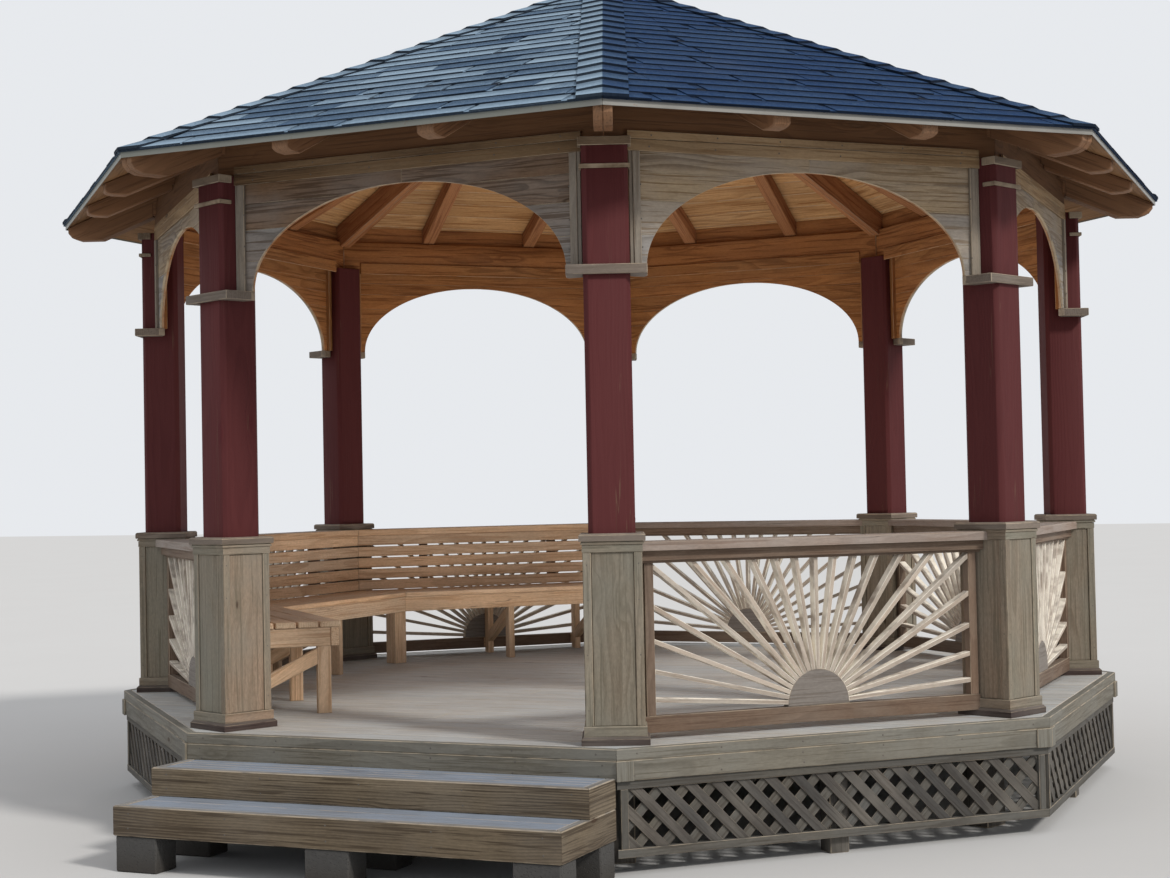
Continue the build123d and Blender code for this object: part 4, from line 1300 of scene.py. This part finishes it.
def rimPiles():
    for seed, (node, z0, z1) in enumerate(rim["courses"]):
        pile = Pile(node + "_timber", 1200 + seed)
        for angle in bayAngles.values():
            pile.mitred(rect(rim["inner"], rim["outer"], z0, z1), mitreAt, upInBay(angle), 0.003)
        pile.build(rimBoards, "treated_timber", node)


rimPiles()

# lattice skirts: strips in two crossing layers inside a frame
lattice = {
    "outer": 2.42801, "thick": 0.036, "low": 0.072, "high": 0.374, "rail": 0.034, "stile": 0.048,
    "strip": 0.040, "pitch": 0.0835, "shift": 0.020, "layer": 0.008, "ease": 0.002, "stripEase": 0.0008,
}


def latticePiles():
    k = lattice
    half = k["outer"] * tanHalf - k["stile"]
    inner = k["outer"] - k["thick"]
    face = k["outer"] - k["thick"] / 2
    middle = (k["low"] + k["high"]) / 2
    low, high = k["low"] + k["rail"], k["high"] - k["rail"]
    step = k["pitch"] * math.sqrt(2)
    count = int((half + 0.3) / step) + 1
    for name in railedBays:
        angle = bayAngles[name]
        front = Pile("lattice_front_" + name, 1300 + int(angle))
        back = Pile("lattice_back_" + name, 1400 + int(angle))
        place = upInBay(angle)
        for z0, z1 in ((k["low"], low), (high, k["high"] - 0.0004)):
            back.mitred(rect(inner, k["outer"], z0, z1), mitreAt, place, k["ease"])
        for side in (-1, 1):
            a0, a1 = sorted((side * half, side * (inner * tanHalf - 0.001)))
            stile = rect(a0, a1, low + 0.0003, high - 0.0003)
            back.board(stile, inner, k["outer"], place, k["ease"], alongB)
        for pile, out, lean in ((front, face + 0.0002, 1), (back, face - k["layer"], -1)):
            way = (math.sqrt(0.5), -lean * math.sqrt(0.5))
            for n in range(-count, count + 1):
                strip = bar((n * step + k["shift"], middle), way, -0.5, 0.5, k["strip"])
                strip = clippedTo(strip, -half, half, low, high)
                pile.board(strip, out, out + k["layer"] - 0.0002, place, k["stripEase"], way, 0.06)
        front.build(latticeBoards, "treated_timber", "lattice_" + name)
        back.build(skirtBoards, "treated_timber", "lattice_" + name)


latticePiles()
print("deck, rims and lattice laid")

# steps: mitred boards on three sides with tread planks between them
steps = {
    "half": 1.005, "board": 0.038, "deckFace": 2.44001, "gap": 0.004, "planks": 4,
    "tread": 0.032, "bearers": (-0.6, 0.0, 0.6), "bearerHalf": 0.019,
    # each step's node, front, underside, top and tone
    "courses": [("step_upper", 2.70001, 0.269, 0.387, 0.05), ("step_lower", 2.9592, 0.147, 0.269, 0.75)],
}


def stepPiles():
    s = steps
    flat = flatInBay(-90)
    half = s["half"]
    b = s["board"]
    back = s["deckFace"] + 0.001
    for seed, (node, front, z0, z1, tone) in enumerate(s["courses"]):
        sides = Pile(node + "_sides", 1500 + seed)
        treads = Pile(node + "_treads", 1550 + seed)
        outline = [(front - b, -half + b), (front, -half), (front, half), (front - b, half - b)]
        sides.board(outline, z0, z1, flat, 0.004, alongB, tone=tone)
        for side in (-1, 1):
            edge = front - 0.0008
            ends = ((back, half), (edge, half), (edge - b, half - b), (back, half - b))
            outline = [(x, side * y) for x, y in ends]
            sides.board(outline[::-side], z0, z1, flat, 0.004, tone=tone)
        wide = (front - b - back) / s["planks"]
        for k in range(s["planks"]):
            x0 = back + k * wide + s["gap"] / 2
            x1 = back + (k + 1) * wide - s["gap"] / 2
            outline = rect(x0, x1, -half + b + 0.001, half - b - 0.001)
            treads.board(outline, z1 - s["tread"], z1 - 0.001, flat, 0.003, alongB)
        for y in s["bearers"]:
            outline = rect(back, front - b - 0.001, y - s["bearerHalf"], y + s["bearerHalf"])
            treads.board(outline, z0 + 0.004, z1 - s["tread"] - 0.0005, flat, 0.002)
        sides.build(riserBoards, "treated_timber", node)
        treads.build(treadBoards, "treated_timber", node)


stepPiles()

# bench frames: leg, bearer, back leg and brace at each station, and the apron
bench = {
    "seatBottom": 0.902, "apronBottom": 0.814, "apronFront": bayApothem - 0.555, "apronThick": 0.036,
    "leg": 0.064, "thick": 0.038, "inset": 0.026, "end": 0.620, "backLeg": bayApothem - 0.046,
    "bearerEnd": bayApothem - 0.154, "panel": bayApothem - 0.022, "braceTop": 0.806, "braceHead": 0.075,
    "braceLow": 0.531, "braceHigh": 0.591, "ease": 0.003, "clear": 0.0004,
}


def benchPile():
    b = bench
    c = b["clear"]
    pile = Pile("bench_frame_boards", 1601)
    ends = {"front_left": (None, b["end"]), "left": (None, None), "back_left": (-b["end"], None)}
    x0 = b["apronFront"]
    x1 = x0 + b["apronThick"]
    legBack = x1 + b["leg"]
    braceEnd = b["backLeg"] - b["leg"]
    braceFoot = b["braceTop"] - b["braceHead"]
    share = (braceEnd - legBack) / (b["panel"] - legBack)
    brace = [
        (legBack + 0.0005, braceFoot),
        (braceEnd - 0.0005, braceFoot + (b["braceLow"] - braceFoot) * share),
        (braceEnd - 0.0005, b["braceTop"] + (b["braceHigh"] - b["braceTop"]) * share),
        (legBack + 0.0005, b["braceTop"]),
    ]
    legTop = b["apronBottom"] - c
    seat = b["seatBottom"] - c
    # each stick of a frame: its outline, the way its grain runs and its ease
    sticks = [
        (rect(x1 + c, legBack, plan["deckTop"], legTop), alongB, b["ease"]),
        (rect(x1 + c, b["bearerEnd"], b["apronBottom"], seat), alongA, b["ease"]),
        (rect(braceEnd, b["backLeg"], plan["deckTop"], legTop), alongB, b["ease"]),
        (brace, (0.85, -0.52), b["ease"]),
        (rect(b["backLeg"] + c, b["panel"] - c, b["braceLow"] + 0.004, b["braceHigh"]), alongA, 0.002),
    ]
    for name in benchBays:
        angle = bayAngles[name]
        low, high = ends[name]

        def at(x, end, sign):
            return sign * (x * tanHalf - 0.0006) if end is None else end

        apron = [(x0, at(x0, low, -1)), (x1, at(x1, low, -1)), (x1, at(x1, high, 1)), (x0, at(x0, high, 1))]
        pile.board(apron, b["apronBottom"], seat, flatInBay(angle), b["ease"], alongB)
        stations = [0.0]
        if low is not None:
            stations.append(low + b["inset"])
        if high is not None:
            stations.append(high - b["inset"])
        for y in stations:
            for outline, along, ease in sticks:
                pile.board(outline, -b["thick"] / 2, b["thick"] / 2, sideOnInBay(angle, y), ease, along)
    pile.build(benchBoards, "cedar_trim", "bench_frames")


benchPile()
print("steps and bench frames built")

# nail and screw heads: low domes on the boards they hold
nails = {
    "radius": 0.0042, "height": 0.0012, "sides": 7, "stray": 0.003, "sunk": 0.0006, "rimSunk": 0.0004,
    "bayFirst": -0.74, "bayPitch": 0.296, "bayCount": 6, "headerRows": ((0.0, 2.915), (0.01, 2.964)),
    "rimRows": ((1.25, 0.478), (1.28, 0.436), (1.26, 0.392)),
    "stripAt": bayHalf - 0.135, "stripLevels": (2.50, 2.62, 2.76), "stripSize": 0.8,
    "cornerAt": 0.103, "cornerLevels": (0.64, 0.86, 1.08, 1.22), "cornerSize": 0.7,
    "stepFirst": -0.93, "stepPitch": 0.465, "stepCount": 5, "stepRows": ((0.30, 0.36), (0.18, 0.24)),
}


def nailPile():
    pile = Pile("nail_heads", 1701)
    n = nails
    m = n["sides"]
    faces = [[k, (k + 1) % m, m + (k + 1) % m, m + k] for k in range(m)]
    faces += [[m + k, m + (k + 1) % m, 2 * m + (k + 1) % m, 2 * m + k] for k in range(m)]
    faces += [[2 * m + k for k in range(m)], list(reversed(range(m)))]
    # the dome's three rings, as shares of its radius and levels
    rings = ((1.0, -0.002), (1.0, n["height"] * 0.4), (0.55, n["height"]))

    def nail(place, a, b, t, size=1.0):
        a += pile.luck.uniform(-n["stray"], n["stray"])
        b += pile.luck.uniform(-n["stray"], n["stray"])
        points = []
        grain = []
        for share, h in rings:
            r = n["radius"] * share * size
            for k in range(m):
                angle = 2 * math.pi * k / m
                points.append(place(a + r * math.cos(angle), b + r * math.sin(angle), t + h))
                grain.append((a, b, h))
        pile.loose(points, faces, grain, pile.luck.random())

    for name, angle in bayAngles.items():
        place = upInBay(angle)
        for k in range(n["bayCount"]):
            u = n["bayFirst"] + k * n["bayPitch"]
            for course, (aside, z) in zip(header["courses"], n["headerRows"]):
                nail(place, u + aside, z, archOuter + course[2] - n["sunk"])
            for share, z in n["rimRows"]:
                nail(place, u * share, z, rim["outer"] - n["rimSunk"])
        for side in (-1, 1):
            for z in n["stripLevels"]:
                out = archOuter + arch["pilasterThick"] - n["sunk"]
                nail(place, side * n["stripAt"], z, out, n["stripSize"])
    for angle in postAngles:
        for side in range(4):
            place = onPost(angle, side)
            for sign in (-1, 1):
                for z in n["cornerLevels"]:
                    out = pedestal["width"] / 2 - n["sunk"]
                    nail(place, sign * n["cornerAt"], z, out, n["cornerSize"])
    for k in range(n["stepCount"]):
        for course, levels in zip(steps["courses"], n["stepRows"]):
            for z in levels:
                nail(upInBay(-90), n["stepFirst"] + k * n["stepPitch"], z, course[1] - n["sunk"])
    pile.build(nailMetal, "edge_metal")


nailPile()
print("nails set")

# floor, light and camera
studio = {
    "floor": (0.60, 0.60, 0.60), "floorReach": 60.0, "sky": (0.97, 0.98, 1.0), "skyLevel": 0.76,
    "backdrop": (0.80, 0.82, 0.85), "sunLevel": 2.1, "sunSpread": 8.0, "sunTilt": (52.0, 0.0, 72.0),
    "sunColour": (1.0, 0.96, 0.90), "fillColour": (1.0, 0.93, 0.84), "fillPower": 30.0, "fillReach": 2.6,
    "fillLevel": 0.56,
}


def floorPiece():
    mesh = bpy.data.meshes.new("studio_floor")
    reach = studio["floorReach"]
    mesh.from_pydata([(x, y, 0.0) for x, y in rect(-reach, reach, -reach, reach)], [], [[0, 1, 2, 3]])
    floor = bpy.data.objects.new("studio_floor", mesh)
    bpy.context.scene.collection.objects.link(floor)
    f = Finish("pale_floor")
    cloud = f.noise(f.put("TexCoord", out=3), 4.0, 0.6, 0.8)
    body = f.mix(cloud, studio["floor"], dimmed(studio["floor"], 0.96))
    f.surface(body, 0.9, cloud, 0.0001, 0.0)
    mesh.materials.append(f.material)


def background(tree, colour, level):
    made = tree.nodes.new("ShaderNodeBackground")
    made.inputs[0].default_value = (*colour, 1.0)
    made.inputs[1].default_value = level
    return made.outputs[0]


def studioWorld():
    # the sky lights the building, and the camera sees a plain backdrop
    world = bpy.data.worlds.new("studio")
    bpy.context.scene.world = world
    world.use_nodes = True
    tree = world.node_tree
    tree.nodes.clear()
    out = tree.nodes.new("ShaderNodeOutputWorld")
    rays = tree.nodes.new("ShaderNodeLightPath")
    most = tree.nodes.new("ShaderNodeMath")
    most.operation = "MAXIMUM"
    both = tree.nodes.new("ShaderNodeMixShader")
    tree.links.new(rays.outputs["Is Camera Ray"], most.inputs[0])
    tree.links.new(rays.outputs["Is Glossy Ray"], most.inputs[1])
    tree.links.new(most.outputs[0], both.inputs[0])
    tree.links.new(background(tree, studio["sky"], studio["skyLevel"]), both.inputs[1])
    tree.links.new(background(tree, studio["backdrop"], 1.0), both.inputs[2])
    tree.links.new(both.outputs[0], out.inputs[0])


def lamp(name, kind, power, colour, turn, level=0.0, **settings):
    light = bpy.data.lights.new(name, kind)
    light.energy = power
    light.color = colour
    for key, value in settings.items():
        setattr(light, key, value)
    made = bpy.data.objects.new(name, light)
    made.location = (0.0, 0.0, level)
    made.rotation_euler = Euler([math.radians(a) for a in turn])
    bpy.context.scene.collection.objects.link(made)
    return made


def studioLight():
    studioWorld()
    spread = math.radians(studio["sunSpread"])
    lamp("soft_key", "SUN", studio["sunLevel"], studio["sunColour"], studio["sunTilt"], angle=spread)
    # a broad low lamp over the deck stands for the light that a bright deck throws up
    fill = lamp(
        "deck_fill", "AREA", studio["fillPower"], studio["fillColour"], (180.0, 0.0, 0.0),
        studio["fillLevel"], shape="DISK", size=studio["fillReach"],
    )
    fill.visible_camera = False


def viewpoint():
    view = {
        "place": (3.8434, -9.1858, 1.5072), "heading": 23.54, "tilt": 1.653, "roll": -1.159, "lens": 57.29,
        "film": 36.0, "farthest": 200.0,
    }
    made = bpy.data.cameras.new("viewpoint")
    made.lens = view["lens"]
    made.sensor_width = view["film"]
    made.sensor_fit = "HORIZONTAL"
    made.clip_end = view["farthest"]
    camera = bpy.data.objects.new("viewpoint", made)
    camera.matrix_world = (
        Matrix.Translation(view["place"])
        @ Matrix.Rotation(math.radians(view["heading"]), 4, "Z")
        @ Matrix.Rotation(math.radians(90 + view["tilt"]), 4, "X")
        @ Matrix.Rotation(math.radians(view["roll"]), 4, "Z")
    )
    bpy.context.scene.collection.objects.link(camera)
    bpy.context.scene.camera = camera


floorPiece()
studioLight()
viewpoint()
bpy.context.scene.view_settings.view_transform = "Standard"
print("floor, light and camera set")
